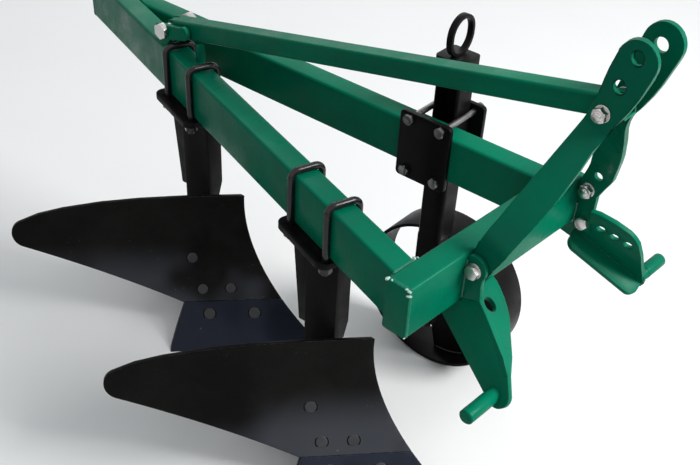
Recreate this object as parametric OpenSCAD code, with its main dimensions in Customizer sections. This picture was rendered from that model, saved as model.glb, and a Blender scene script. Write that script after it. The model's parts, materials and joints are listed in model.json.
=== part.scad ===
// Two-furrow mounted moldboard plough with a depth wheel.
// X points to the plough's right, Y in the direction of travel, Z up. Millimetres.

/* [Frame] */
// Height of the frame's top face above the ground
frame_top = 530; // [450:5:620]
// Height of the box tubes
tube_height = 80; // [60:1:100]
// Width of the box tubes
tube_width = 40; // [30:1:60]
// Wall of the box tubes
tube_wall = 5; // [3:0.5:8]
// Outer corner radius of the box tubes
tube_corner = 5; // [3:0.5:8]
// Left end of the crossbeam
cross_left = 232; // [200:1:260]
// Right end of the crossbeam
cross_right = 630; // [560:1:700]
// Rear face of the crossbeam
cross_back = 62.5; // [40:0.5:90]
// Angle of the main beam to the line of travel
main_angle = 15.6; // [8:0.1:25]
// Centre of the main beam where it meets the crossbeam
main_x = 594.5; // [560:0.5:620]
// Rear end of the main beam
main_rear = -920; // [-1100:5:-860]
// Angle of the side beam and of the plough bodies to the crossbeam's square
heading = 3.5; // [0:0.1:8]
// Centre of the side beam where it meets the crossbeam
side_x = 275.2; // [260:0.2:300]
// Height of the side beam
side_height = 74; // [60:1:80]
// Thickness of the end caps
cap_thickness = 5; // [3:0.5:8]

/* [Hitch] */
// Centre line of the hitch
hitch_x = 371; // [340:1:400]
// Outer face of each lug from the hitch centre
lug_offset = 140; // [120:1:160]
// Thickness of lugs, arms and mast bars
plate = 8; // [6:0.5:12]
// Upper lug bolt, distance in front of the crossbeam
lug_bolt_y = 12.5; // [10:0.5:20]
// Upper lug bolt, height
lug_bolt_z = 507; // [490:1:520]
// Lower lug bolt, height
low_bolt_z = 462; // [455:1:475]
// Outward angle of the hitch arms in plan
arm_flare = 18.8; // [0:0.2:30]
// Downward angle of the hitch arms
arm_droop = 24; // [0:0.5:40]
// Inward lean of the hitch arms
arm_lean = 24.2; // [0:0.2:35]
// Length of the arms along their lower edge
arm_length = 160; // [130:1:200]
// Hitch pin diameter
pin_diameter = 22; // [22:1:28]
// Hitch pin axis, forward position
pin_y = 205; // [180:1:230]
// Hitch pin axis, height
pin_z = 375; // [340:1:410]
// End of each hitch pin from the hitch centre
pin_reach = 248; // [230:1:280]

/* [Mast] */
// Width of the mast bars
mast_width = 65; // [50:1:80]
// Half of the gap between the mast bars at the top
mast_half_gap = 22; // [18:0.5:30]
// Forward lean of the mast
mast_lean = 18.4; // [10:0.1:25]
// Distance from the foot bolt to the top-link hole
link_hole_t = 316; // [280:1:350]
// Distance from the foot bolt to the second hole
second_hole_t = 273; // [240:1:300]
// Distance from the foot bolt to the brace bolt
brace_hole_t = 234; // [210:1:260]
// Distance from the foot bolt to the spare hole
spare_hole_t = 32; // [25:1:60]
// Top-link hole diameter
link_hole = 19.5; // [19:0.1:26]
// Distance from the foot bolt to the lower bend
foot_bend_t = 45; // [20:1:80]
// Distance from the foot bolt to the upper bend
top_bend_t = 200; // [170:1:220]
// Side of the square brace tube
brace_side = 30; // [25:1:40]
// Rear clevis bolt, forward position
clevis_y = -612; // [-700:1:-560]
// Rear clevis bolt, height above the beam
clevis_rise = 27; // [22:1:40]

/* [Depth wheel] */
// Wheel radius
wheel_radius = 146; // [120:1:180]
// Wheel width
wheel_width = 75; // [50:1:100]
// Rim thickness
rim_thickness = 6; // [4:0.5:10]
// Standard depth in the line of travel
standard_depth = 45; // [40:1:60]
// Standard width
standard_width = 42; // [35:1:55]
// Height of the top of the standard
standard_top = 626; // [580:1:700]
// Centre of the standard behind the crossbeam
standard_back = 199.5; // [150:0.5:300]
// Distance of the wheel's middle from the side beam's middle
wheel_offset = 104.5; // [95:0.5:130]
// Sliding gap round the standard
slide_gap = 0.3; // [0.2:0.1:1]
// Thickness of the clamp plates
clamp_plate = 8; // [6:0.5:12]
// Clamp bolt diameter
clamp_bolt = 12; // [10:1:16]
// Width of the clamp plates
clamp_width = 93; // [85:1:120]
// Outer diameter of the lifting ring
ring_d = 60; // [50:1:80]

/* [Plough bodies] */
// Sideways step from one body to the next
body_step_x = 126; // [100:0.5:260]
// Lengthways step from one body to the next
body_step_y = 435; // [350:1:600]
// Radius of the moldboard's curve
board_radius = 265; // [220:1:320]
// Angle of the share to the ground at its edge
share_angle = 27; // [18:0.5:35]
// Angle of the share's edge to the line of travel
edge_angle = 49.5; // [38:0.5:55]
// Share point, sideways
point_x = 462; // [440:0.5:480]
// Share point, forward
point_y = 132; // [110:1:140]
// Height of the joint between share and moldboard
joint_z = 58; // [45:1:70]
// Length of the share's edge
share_length = 289; // [250:1:320]
// Thickness of the share
share_thickness = 8; // [6:0.5:12]
// Thickness of the moldboard
board_thickness = 6; // [4:0.5:8]
// Height of the moldboard at the shin
board_top = 249; // [220:1:300]
// Length of the moldboard to its tail
board_length = 570; // [480:1:640]
// Landside height
landside_height = 75; // [60:1:100]
// Landside thickness
landside_thickness = 8; // [6:0.5:12]
// Rear end of the landside
landside_rear = -270; // [-340:1:-220]

/* [Hidden] */
$fn = 64;
paint = [0.0, 0.42, 0.28];
black = [0.08, 0.08, 0.09];
zinc = [0.72, 0.72, 0.70];
// centre of the whole part's box
centre_x = 463;
centre_y = -335;
frame_bottom = frame_top - tube_height;
cross_front = cross_back + tube_width;
half_tube = tube_width / 2;
bolt_d = 16;
bore_clear = 1;
// board curve: centre of the circle in front of and above the share's edge
curve_y = board_radius * sin(share_angle);
curve_z = board_radius * cos(share_angle);
base_thickness = 10;
base_right = 41;
base_left = -62;
base_length = 132;
// places along the main beam of each body's base plate and of its two U-bolts
base_at = [-202, -634.9];
rod_rows = [[-147.2, -247.6], [-584.4, -672.9]];
rod_d = 11;
rod_half = half_tube + rod_d / 2;
// U-bolt crown: radius of its corners and height of its middle line above the beam
crown_r = 12;
crown_rise = 7;
thread_end = 24;
nut_af = 19;
nut_h = 10;
bolt_af = 24;
head_h = 10;
nut_end = 13;
clamp_top = frame_top + 9.5;
clamp_low = frame_top - side_height - 7;
clamp_margin = 12.5;
standard_x = half_tube + slide_gap + standard_width / 2;
axle_y = standard_back + 8;
axle_d = 25;
far = 3000;

// helper frames
module on_frame() translate([-centre_x, -centre_y, 0]) children();
module on_main() on_frame() translate([main_x, cross_back, 0]) rotate([0, 0, -main_angle]) children();
module on_side() on_frame() translate([side_x, cross_back, 0]) rotate([0, 0, heading]) children();
module on_hitch(side) on_frame() translate([hitch_x, 0, 0]) scale([side, 1, 1]) children();
module on_body(i) on_frame() translate([-i * body_step_x, -i * body_step_y, 0]) children();
// local x runs along the share's edge to the wing, y forward from it
module on_edge() translate([point_x, point_y, 0]) rotate([0, 0, edge_angle - 90]) children();
// local y runs along the landside, x to the right of it
module on_land() translate([point_x, point_y, 0]) rotate([0, 0, heading]) children();

// round bar along x
module bar_x(d, x0, x1, y, z) translate([x0, y, z]) rotate([0, 90, 0]) cylinder(d = d, h = x1 - x0);
// hexagon along x
module hex_x(af, x0, x1, y, z) translate([x0, y, z]) rotate([0, 90, 0])
  linear_extrude(x1 - x0) circle(d = af / cos(30), $fn = 6);
// bolt along x through x0 to x1, its nut at the x0 end
module bolt_x(d, af, x0, x1, y, z) {
  bar_x(d, x0 - nut_end, x1 + head_h, y, z);
  hex_x(af, x1, x1 + head_h, y, z);
  hex_x(af, x0 - nut_end, x0, y, z);
}

module round_box(w, h, r) {
  square([w - 2 * r, h], center = true);
  square([w, h - 2 * r], center = true);
  for (sx = [-1, 1], sy = [-1, 1]) translate([sx * (w / 2 - r), sy * (h / 2 - r)]) circle(r = r, $fn = 32);
}
module box_tube_2d(h = tube_height) difference() {
  round_box(tube_width, h, tube_corner);
  round_box(tube_width - 2 * tube_wall, h - 2 * tube_wall, 1.5);
}
// tube along local y from y0 to y1, its top at frame_top
module tube_y(y0, y1, h = tube_height) translate([0, y1, frame_top - h / 2]) rotate([90, 0, 0])
  linear_extrude(y1 - y0) box_tube_2d(h);

// frame
module crossbeam() color(paint) on_frame()
  translate([cross_left + cap_thickness, cross_back + half_tube, frame_top - tube_height / 2]) rotate([90, 0, 90])
  linear_extrude(cross_right - cross_left - 2 * cap_thickness) box_tube_2d();
module crossbeam_caps() color(paint) on_frame()
  for (x = [cross_left, cross_right - cap_thickness])
    translate([x, cross_back + half_tube, frame_top - tube_height / 2]) rotate([90, 0, 90])
    linear_extrude(cap_thickness) round_box(tube_width, tube_height, tube_corner);
main_length = (cross_back - main_rear) / cos(main_angle);
module main_beam() color(paint) difference() {
  on_main() tube_y(-main_length, 40);
  on_frame() translate([0, cross_back, 0]) cube([2000, 200, 1000]);
}
module main_beam_cap() color(paint) on_main()
  translate([0, -main_length, frame_top - tube_height / 2]) rotate([90, 0, 0])
  linear_extrude(cap_thickness) round_box(tube_width, tube_height, tube_corner);
module side_beam() color(paint) difference() {
  on_side() tube_y(-1000, 40, side_height);
  on_frame() translate([0, cross_back, 0]) cube([2000, 200, 1000]);
  on_main() translate([-half_tube, -far, 0]) cube([far, 2 * far, 1000]);
}

// hitch
module lug_shape() difference() {
  union() {
    translate([cross_front, low_bolt_z - 14]) square([28, lug_bolt_z - low_bolt_z + 14]);
    translate([cross_front + lug_bolt_y, lug_bolt_z]) circle(r = 18);
  }
  translate([cross_front - 50, low_bolt_z - 50]) square([50, 200]);
}
low_bolt_y = 14;
module lug(side) color(paint) on_hitch(side) difference() {
  translate([lug_offset - plate, 0, 0]) rotate([90, 0, 90]) linear_extrude(plate) lug_shape();
  bar_x(bolt_d + bore_clear, lug_offset - 60, lug_offset + 60, cross_front + lug_bolt_y, lug_bolt_z);
  children();
}
module hitch_lug_right() lug(1);
module hitch_lug_left() lug(-1)
  bar_x(bolt_d + bore_clear, lug_offset - 60, lug_offset + 60, cross_front + low_bolt_y, low_bolt_z);
module in_arm() translate([150, 80, 421]) rotate([0, 0, -arm_flare]) rotate([-arm_droop, 0, 0])
  rotate([0, -arm_lean, 0]) children();
module arm_shape() {
  polygon([[-6, 0], [142, 0], [154, 32], [106, 66], [14, 78], [-6, 60]]);
  translate([142, 18]) circle(r = 18);
}
pin_root = pin_diameter / 2 - 0.5;
pin_start = 182;
pin_bare = 16;
pin_long = pin_reach - pin_start - 2;
module arm_cuts() {
  translate([0, cross_back - 40, frame_bottom]) cube([300, tube_width + 40, 200]);
  translate([lug_offset - plate - 60, 0, low_bolt_z - 14]) cube([60 + plate, cross_front + 28, 200]);
  bar_x(2 * pin_root, 100, 300, pin_y, pin_z);
}
module hitch_arm_right() color(paint) on_hitch(1) difference() {
  in_arm() union() {
    translate([-plate, 0, 0]) rotate([90, 0, 90]) linear_extrude(plate) arm_shape();
    difference() {
      translate([0, 106, 66]) rotate([-atan(12 / 92), 0, 0]) translate([-32, -92, -plate])
        linear_extrude(plate) polygon([[32, 0], [0, 0], [4, 60], [26, 140], [32, 140]]);
      translate([-14, 34, 0]) cylinder(d = 18, h = 120);
      translate([-50, 152, -50]) cube([100, 60, 200]);
    }
  }
  arm_cuts();
}
module hitch_arm_left() color(paint) on_hitch(-1) difference() {
  in_arm() union() {
    difference() {
      translate([-plate, 0, 0]) rotate([90, 0, 90]) linear_extrude(plate) arm_shape();
      for (k = [0:2]) translate([-20, 44 + 23 * k, 51 + 4 * k]) rotate([0, 90, 0]) cylinder(d = 15, h = 40);
    }
    translate([-17 - plate, 0, 0]) linear_extrude(plate) union() {
      translate([0, 20]) square([17 + plate, 112]);
      translate([12.5, 20]) circle(r = 12.5);
      translate([12.5, 132]) circle(r = 12.5);
    }
  }
  arm_cuts();
}
module hitch_pin(side) color(paint) on_hitch(side) translate([pin_start, pin_y, pin_z]) rotate([0, 90, 0])
  rotate_extrude() polygon([[0, 0], [pin_root, 0], [pin_root, pin_bare], [pin_diameter / 2, pin_bare],
    [pin_diameter / 2, pin_long], [pin_diameter / 2 - 2, pin_long + 2], [0, pin_long + 2]]);
module hitch_pin_right() hitch_pin(1);
module hitch_pin_left() hitch_pin(-1);
module hitch_bolts() color(zinc) {
  for (side = [-1, 1]) on_hitch(side)
    bolt_x(bolt_d, bolt_af, lug_offset - 2 * plate, lug_offset, cross_front + lug_bolt_y, lug_bolt_z);
  on_hitch(-1) {
    bar_x(bolt_d, lug_offset - plate - head_h, lug_offset, cross_front + low_bolt_y, low_bolt_z);
    hex_x(bolt_af, lug_offset - plate - head_h, lug_offset - plate, cross_front + low_bolt_y, low_bolt_z);
  }
}

// mast: a bent strip seen from the front, cut to a bar seen from the side
splay = atan((lug_offset - 2 * plate - mast_half_gap) / (top_bend_t - foot_bend_t));
bend_lift = plate * tan(splay / 2);
mast_top_t = link_hole_t + 30;
module in_mast() translate([0, cross_front + lug_bolt_y, lug_bolt_z]) rotate([-mast_lean, 0, 0]) children();
module mast_strip() polygon([[mast_half_gap, mast_top_t + 20], [mast_half_gap, top_bend_t],
  [lug_offset - 2 * plate, foot_bend_t], [lug_offset - 2 * plate, -60], [lug_offset - plate, -60],
  [lug_offset - plate, foot_bend_t + bend_lift], [mast_half_gap + plate, top_bend_t + bend_lift],
  [mast_half_gap + plate, mast_top_t + 20]]);
module mast_side() {
  translate([-mast_width / 2, 0]) square([mast_width, mast_top_t - mast_width / 2]);
  translate([0, mast_top_t - mast_width / 2]) circle(d = mast_width);
  translate([8, 0]) circle(d = mast_width - 16);
}
module mast_bar(side) color(paint) difference() {
  on_hitch(side) in_mast() difference() {
    intersection() {
      translate([0, mast_width, 0]) rotate([90, 0, 0]) linear_extrude(2 * mast_width) mast_strip();
      rotate([90, 0, 90]) linear_extrude(200) mast_side();
    }
    for (t = [link_hole_t, second_hole_t]) bar_x(link_hole, 0, 200, 0, t);
    bar_x(bolt_d + bore_clear, 0, 200, 0, brace_hole_t);
    bar_x(bolt_d + bore_clear, 0, 200, 0, 0);
    bar_x(14, 0, 200, 4, spare_hole_t);
  }
  on_frame() translate([cross_left - 50, cross_back - 60, frame_bottom]) cube([600, tube_width + 60.5, tube_height]);
}
module mast_bar_right() mast_bar(1);
module mast_bar_left() mast_bar(-1);
brace_front_y = cross_front + lug_bolt_y + brace_hole_t * sin(mast_lean);
brace_front_z = lug_bolt_z + brace_hole_t * cos(mast_lean);
clevis_z = frame_top + clevis_rise;
clevis_x = main_x + (clevis_y - cross_back) * tan(main_angle) - 8;
brace_turn = atan((hitch_x - clevis_x) / (brace_front_y - clevis_y));
brace_run = sqrt(pow(hitch_x - clevis_x, 2) + pow(brace_front_y - clevis_y, 2));
brace_rise = atan((brace_front_z - clevis_z) / brace_run);
brace_length = sqrt(pow(brace_run, 2) + pow(brace_front_z - clevis_z, 2));
// local y runs from the clevis bolt to the mast bolt
module on_brace() on_frame() translate([clevis_x, clevis_y, clevis_z]) rotate([0, 0, -brace_turn])
  rotate([brace_rise, 0, 0]) children();
module mast_bolt() color(zinc) on_frame() translate([hitch_x, 0, 0])
  bolt_x(bolt_d, bolt_af, -mast_half_gap - plate, mast_half_gap + plate, brace_front_y, brace_front_z);
tongue_start = 14;
module brace_tube() color(paint) difference() {
  on_brace() {
    translate([0, brace_length + 18, 0]) rotate([90, 0, 0])
      linear_extrude(brace_length + 18 - tongue_start) difference() {
      round_box(brace_side, brace_side, 4);
      round_box(brace_side - 6, brace_side - 6, 1.5);
    }
    translate([-7, 0, -12]) cube([14, 50, 24]);
    translate([-7, 0, 0]) rotate([0, 90, 0]) cylinder(d = 24, h = 14);
  }
  on_frame() bar_x(bolt_d + bore_clear, hitch_x - 40, hitch_x + 40, brace_front_y, brace_front_z);
  on_brace() bar_x(bolt_d + bore_clear, -40, 40, 0, 0);
}
module brace_spacers() color(zinc) on_frame() for (s = [-1, 1])
  translate([hitch_x + s * (mast_half_gap - 2.6), brace_front_y, brace_front_z]) rotate([0, 90, 0]) difference() {
    cylinder(d = 30, h = 5, center = true);
    cylinder(d = bolt_d + bore_clear, h = 20, center = true);
  }
clevis_gap = brace_side + 4;
foot_h = 6;
// ear over the U-bolt, following the brace's slope
module clevis_ear() {
  polygon([[-17, foot_h], [8, foot_h], [14, clevis_rise - 12], [48, clevis_rise - 3], [51, clevis_rise + 18],
    [-19, clevis_rise + 6]]);
  translate([46, clevis_rise + 8]) circle(r = 11);
}
module rear_clevis() color(paint) {
  on_frame() translate([clevis_x, clevis_y, frame_top]) rotate([0, 0, -brace_turn]) difference() {
    union() {
      translate([-clevis_gap / 2 - plate, -24, 0]) cube([clevis_gap + 2 * plate, 30, foot_h]);
      for (x = [-clevis_gap / 2 - plate, clevis_gap / 2])
        translate([x, 0, 0]) rotate([90, 0, 90]) linear_extrude(plate) clevis_ear();
    }
    bar_x(bolt_d + bore_clear, -60, 60, 0, clevis_rise);
  }
  on_main() translate([-20, -623, frame_top]) cube([13, plate, 28]);
}
module clevis_bolt() color(zinc) on_frame() translate([clevis_x, clevis_y, 0]) rotate([0, 0, -brace_turn])
  bolt_x(bolt_d, bolt_af, -clevis_gap / 2 - plate, clevis_gap / 2 + plate, 0, clevis_z);

// depth wheel, in the side beam's frame
bolt_side = standard_depth / 2 + clamp_bolt / 2 + 0.5;
module clamp_holes() for (s = [-1, 1], z = [clamp_top, clamp_low])
  bar_x(clamp_bolt + bore_clear, -200, 100, -standard_back + s * bolt_side, z);
module clamp_plate_shape() translate([0, (clamp_top + clamp_low) / 2])
  round_box(clamp_width, clamp_top - clamp_low + 2 * clamp_margin, 14);
outer_x = -standard_x - standard_width / 2 - slide_gap - clamp_plate;
module clamp_plate_inner() color(black) on_side() difference() {
  translate([half_tube, -standard_back, 0]) rotate([90, 0, 90]) linear_extrude(clamp_plate) clamp_plate_shape();
  clamp_holes();
}
module clamp_plate_outer() color(black) on_side() difference() {
  translate([outer_x, -standard_back, 0]) rotate([90, 0, 90]) linear_extrude(clamp_plate) clamp_plate_shape();
  clamp_holes();
}
module clamp_bolts() color(zinc) on_side() for (s = [-1, 1], z = [clamp_top, clamp_low]) {
  y = -standard_back + s * bolt_side;
  bar_x(clamp_bolt, outer_x - 8, half_tube + clamp_plate + 16, y, z);
  hex_x(nut_af, outer_x - 8, outer_x, y, z);
  hex_x(nut_af, half_tube + clamp_plate, half_tube + clamp_plate + nut_h, y, z);
}
tube_low = 2 * wheel_radius + 16;
module standard_tube() color(black) on_side() translate([-standard_x, -standard_back, tube_low])
  linear_extrude(standard_top - tube_low) difference() {
    round_box(standard_width, standard_depth, 5);
    translate([6 - 0.1, 0]) square([30.2, 35.2], center = true);
  }
foot_width = 30;
module standard_foot() color(black) on_side() difference() {
  union() {
    translate([-standard_x - standard_width / 2 + 12, -standard_back, 120]) translate([foot_width / 2, 0, 0])
      linear_extrude(tube_low - 120) round_box(foot_width, standard_depth, 3);
    translate([-standard_x + 6, -standard_back, tube_low]) linear_extrude(120) square([30, 35], center = true);
  }
  bar_x(axle_d, -200, 0, -axle_y, wheel_radius);
}
cap_low = standard_top - 14;
cap_top = standard_top + 5;
module standard_cap() color(black) on_side() translate([-standard_x, -standard_back, cap_low]) difference() {
  linear_extrude(cap_top - cap_low) round_box(standard_width + 8, standard_depth + 8, 8);
  linear_extrude(standard_top - cap_low) round_box(standard_width, standard_depth, 5);
}
ring_thick = 6;
ring_wide = 10;
ring_leg = 5;
module ring_2d(h) difference() {
  union() {
    circle(d = ring_d);
    translate([0, h]) circle(d = ring_d);
    translate([-ring_d / 2, 0]) square([ring_d, h]);
  }
  circle(d = ring_d - 2 * ring_thick);
  translate([0, h]) circle(d = ring_d - 2 * ring_thick);
  translate([ring_thick - ring_d / 2, 0]) square([ring_d - 2 * ring_thick, h]);
}
module lift_ring() color(black) on_side() difference() {
  translate([-standard_x, -standard_back + ring_wide / 2, cap_top + ring_d / 2 - 2]) rotate([90, 0, 0])
    linear_extrude(ring_wide) ring_2d(ring_leg);
  translate([-standard_x - 50, -standard_back - 50, cap_low]) cube([100, 100, cap_top - cap_low]);
}
foot_left = -standard_x - standard_width / 2 + 12;
module wheel_axle() color(zinc) on_side() {
  bar_x(axle_d, -wheel_offset - wheel_width / 2 - 8, foot_left + foot_width + 4, -axle_y, wheel_radius);
  bar_x(38, -wheel_offset - wheel_width / 2 - 8, -wheel_offset - wheel_width / 2 - 2, -axle_y, wheel_radius);
}
module in_wheel() on_side() translate([-wheel_offset, -axle_y, wheel_radius]) rotate([0, 90, 0]) children();
module wheel_rim() color(black) in_wheel() difference() {
  cylinder(r = wheel_radius, h = wheel_width, center = true, $fn = 128);
  cylinder(r = wheel_radius - rim_thickness, h = wheel_width + 2, center = true, $fn = 128);
}
module wheel_spokes() color(black) in_wheel() for (k = [0:3]) rotate([0, 0, 90 * k + 45]) intersection() {
  translate([22, -35, -3]) cube([200, 70, 6]);
  difference() {
    cylinder(r = wheel_radius - rim_thickness, h = 20, center = true);
    cylinder(r = 30, h = 30, center = true);
  }
}
module wheel_hub() color(black) in_wheel() difference() {
  cylinder(d = 60, h = wheel_width - 1, center = true);
  cylinder(d = axle_d + 0.1, h = wheel_width + 2, center = true);
}

// plough bodies
module base_plate(i) color(black) on_main() difference() {
  translate([(base_right + base_left) / 2, base_at[i], frame_bottom - base_thickness]) linear_extrude(base_thickness)
    round_box(base_right - base_left, base_length, 16);
  for (sx = [-1, 1], y = rod_rows[i])
    translate([sx * rod_half, y, frame_bottom - 20]) cylinder(d = rod_d + 1, h = 40);
}
module base_plate_1() base_plate(0);
module base_plate_2() base_plate(1);
rod_low = frame_bottom - base_thickness - thread_end;
crown_low = frame_top + crown_rise - crown_r;
module u_bolts(i) color([0.2, 0.2, 0.22]) on_main() for (y = rod_rows[i]) translate([0, y, 0]) {
  for (sx = [-1, 1]) translate([sx * rod_half, 0, rod_low]) cylinder(d = rod_d, h = crown_low - rod_low);
  for (k = [0, 1])
    translate([(1 - 2 * k) * (rod_half - crown_r), 0, crown_low]) rotate([90, 0, 0]) rotate([0, 0, 90 * k])
    rotate_extrude(angle = 90) translate([crown_r, 0]) circle(d = rod_d, $fn = 24);
  bar_x(rod_d, crown_r - rod_half, rod_half - crown_r, 0, frame_top + crown_rise);
  for (sx = [-1, 1]) translate([sx * rod_half, 0, frame_bottom - base_thickness - nut_h]) linear_extrude(nut_h)
    circle(d = nut_af / cos(30), $fn = 6);
}
module u_bolts_1() u_bolts(0);
module u_bolts_2() u_bolts(1);

leg_width = 34;
leg_depth = 62;
leg_front = -118;
leg_right = 515;
leg_low = 232;
leg_top = frame_bottom - base_thickness;
web_right = -8;
web_left = -24;
tongue = 12;
frog_thickness = 8;
// solid between the curve's radius r and everything in front of it
module ahead_of(r) on_edge() translate([-500, curve_y, curve_z]) rotate([0, 90, 0])
  cylinder(r = r, h = 1500, $fn = 128);
module leg_frame() translate([leg_right, leg_front, 0]) rotate([0, 0, heading]) children();
module leg_web() polygon([[1 - leg_depth, leg_top], [-leg_depth - 10, leg_top], [-leg_depth - 35, leg_top - 40],
  [-leg_depth - 19, leg_low + 4], [1 - leg_depth, leg_low + 4]]);
module leg(i) color(black) difference() {
  on_body(i) leg_frame() {
    translate([-leg_width, -leg_depth, leg_low]) cube([leg_width, leg_depth, leg_top - leg_low]);
    translate([web_left, 0, 0]) rotate([90, 0, 90]) linear_extrude(web_right - web_left) leg_web();
    translate([-tongue, -leg_depth, 16]) cube([tongue, leg_depth + 120, board_top - 36]);
    translate([-tongue, -leg_depth, 200]) cube([tongue, leg_depth, leg_low - 199]);
  }
  on_body(i) ahead_of(board_radius + board_thickness + 1);
  on_body(i) intersection() {
    ahead_of(board_radius + share_thickness + frog_thickness + 0.5);
    translate([0, -500, 0]) cube([1000, 1000, 122]);
  }
  on_body(i) leg_frame() translate([0, 1, 0]) rotate([90, 0, 0]) linear_extrude(leg_depth + 40)
    polygon([[-leg_width - 1, leg_low - 1], [10 - leg_width, leg_low - 1], [-leg_width - 1, leg_low + 32]]);
  on_main() translate([-rod_half, rod_rows[i][1], leg_top - 30]) cylinder(r = 14, h = 40);
}
module leg_1() leg(0);
module leg_2() leg(1);

land_x = landside_thickness;
module frog(i) color(black) on_body(i) intersection() {
  on_edge() translate([90, 0, 0]) rotate([90, 0, 90]) linear_extrude(150) difference() {
    intersection() {
      translate([curve_y, curve_z]) circle(r = board_radius + share_thickness + frog_thickness, $fn = 128);
      translate([-400, 14]) square([500, 106]);
    }
    translate([curve_y, curve_z]) circle(r = board_radius + board_thickness, $fn = 128);
    intersection() {
      translate([curve_y, curve_z]) circle(r = board_radius + share_thickness, $fn = 128);
      translate([-400, 0]) square([500, joint_z]);
    }
    translate([0, 0]) square([500, 400]);
  }
  on_land() translate([land_x, -600, 0]) cube([900, 900, 400]);
}
module frog_1() frog(0);
module frog_2() frog(1);

board_outline = [[0, joint_z + 0.5], [260, joint_z + 0.5], [311, 76], [391, 106], [471, 138], [550, 160],
  [board_length - 4, 168], [board_length, 180], [board_length - 4, 197], [538, 211], [491, 228], [420, 240],
  [300, board_top], [0, board_top]];
module board_shell(thickness) on_edge() translate([-100, 0, 0]) rotate([90, 0, 90]) linear_extrude(800) difference() {
  translate([curve_y, curve_z]) circle(r = board_radius + thickness, $fn = 128);
  translate([curve_y, curve_z]) circle(r = board_radius, $fn = 128);
  translate([curve_y, -200]) square([400, 800]);
}
module moldboard(i) color(black) on_body(i) intersection() {
  board_shell(board_thickness);
  on_edge() rotate([90, 0, 0]) linear_extrude(300) polygon(board_outline);
  on_land() translate([0, -900, 0]) cube([1200, 1200, 500]);
}
module moldboard_1() moldboard(0);
module moldboard_2() moldboard(1);
module share(i) color(black) on_body(i) intersection() {
  board_shell(share_thickness);
  on_edge() translate([0, 60, 0]) rotate([90, 0, 0]) linear_extrude(300)
    polygon([[-60, 0], [-60, joint_z - 0.5], [262, joint_z - 0.5], [share_length, 0]]);
  on_land() translate([0, -900, 0]) cube([1200, 1200, 500]);
}
module share_1() share(0);
module share_2() share(1);
module landside(i) color(black) on_body(i) difference() {
  on_land() translate([0, landside_rear - point_y, 0]) cube([land_x, -landside_rear + point_y, landside_height]);
  ahead_of(board_radius + share_thickness + 0.5);
}
module landside_1() landside(0);
module landside_2() landside(1);
// bar from the landside's rear to the moldboard's back
tail_g = 380;
tail_z = 150;
tail_b = sqrt(pow(board_radius + board_thickness, 2) - pow(curve_z - tail_z, 2)) - curve_y;
module tail_brace(i) color(black) on_body(i) {
  p0 = [point_x + 12 + 15, landside_rear + 35, 50];
  p1 = [point_x + tail_g * sin(edge_angle) - (tail_b + 4) * cos(edge_angle),
    point_y - tail_g * cos(edge_angle) - (tail_b + 4) * sin(edge_angle), tail_z];
  d = p1 - p0;
  difference() {
    translate(p0) rotate([0, acos(d[2] / norm(d)), atan2(d[1], d[0])]) translate([0, 0, -12])
      cylinder(d = 18, h = norm(d) + 12);
    ahead_of(board_radius + board_thickness + 0.2);
    on_land() translate([-100, -900, 0]) cube([100 + land_x + 0.2, 1200, 400]);
  }
}
module tail_brace_1() tail_brace(0);
module tail_brace_2() tail_brace(1);

crossbeam();
crossbeam_caps();
main_beam();
main_beam_cap();
side_beam();
hitch_lug_right();
hitch_lug_left();
hitch_arm_right();
hitch_arm_left();
hitch_pin_right();
hitch_pin_left();
hitch_bolts();
mast_bar_right();
mast_bar_left();
mast_bolt();
brace_tube();
brace_spacers();
rear_clevis();
clevis_bolt();
clamp_plate_inner();
clamp_plate_outer();
clamp_bolts();
standard_tube();
standard_foot();
standard_cap();
lift_ring();
wheel_axle();
wheel_rim();
wheel_spokes();
wheel_hub();
base_plate_1();
u_bolts_1();
leg_1();
frog_1();
moldboard_1();
share_1();
landside_1();
tail_brace_1();
base_plate_2();
u_bolts_2();
leg_2();
frog_2();
moldboard_2();
share_2();
landside_2();
tail_brace_2();
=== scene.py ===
"""A two-furrow mounted moldboard plough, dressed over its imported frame.

The plough's own axes, in millimetres, are X to its right, Y in the direction of travel and Z up. Each sub-assembly is
built in the frame of what carries it, and its mesh is then set in the part's frame in metres.
"""

import json
import logging
import math
from dataclasses import dataclass, field, replace
from enum import Enum
from typing import Iterable, Sequence, Union

import bmesh
import bpy
from bmesh.types import BMEdge, BMFace, BMVert
from bpy.types import ID, Material, Node, NodeSocket, Object, World
from mathutils import Matrix, Vector

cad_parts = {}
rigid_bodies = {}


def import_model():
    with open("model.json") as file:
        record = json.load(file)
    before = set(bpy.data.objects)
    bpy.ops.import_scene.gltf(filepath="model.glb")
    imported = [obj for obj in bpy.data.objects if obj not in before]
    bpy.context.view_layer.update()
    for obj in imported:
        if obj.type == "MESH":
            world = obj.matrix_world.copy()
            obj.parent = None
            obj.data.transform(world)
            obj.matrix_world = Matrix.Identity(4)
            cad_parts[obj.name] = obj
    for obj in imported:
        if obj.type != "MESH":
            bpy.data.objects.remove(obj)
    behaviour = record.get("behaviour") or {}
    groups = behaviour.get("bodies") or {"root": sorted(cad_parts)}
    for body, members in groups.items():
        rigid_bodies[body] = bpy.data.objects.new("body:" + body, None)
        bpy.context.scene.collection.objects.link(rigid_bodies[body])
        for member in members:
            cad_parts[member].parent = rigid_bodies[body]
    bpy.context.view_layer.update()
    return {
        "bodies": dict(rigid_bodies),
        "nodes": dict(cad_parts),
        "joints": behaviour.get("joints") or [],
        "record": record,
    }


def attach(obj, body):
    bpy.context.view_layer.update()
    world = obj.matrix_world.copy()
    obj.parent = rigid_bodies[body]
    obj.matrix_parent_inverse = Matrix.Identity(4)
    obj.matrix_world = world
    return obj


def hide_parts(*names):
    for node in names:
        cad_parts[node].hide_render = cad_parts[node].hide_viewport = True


log = logging.getLogger("plough")

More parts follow.
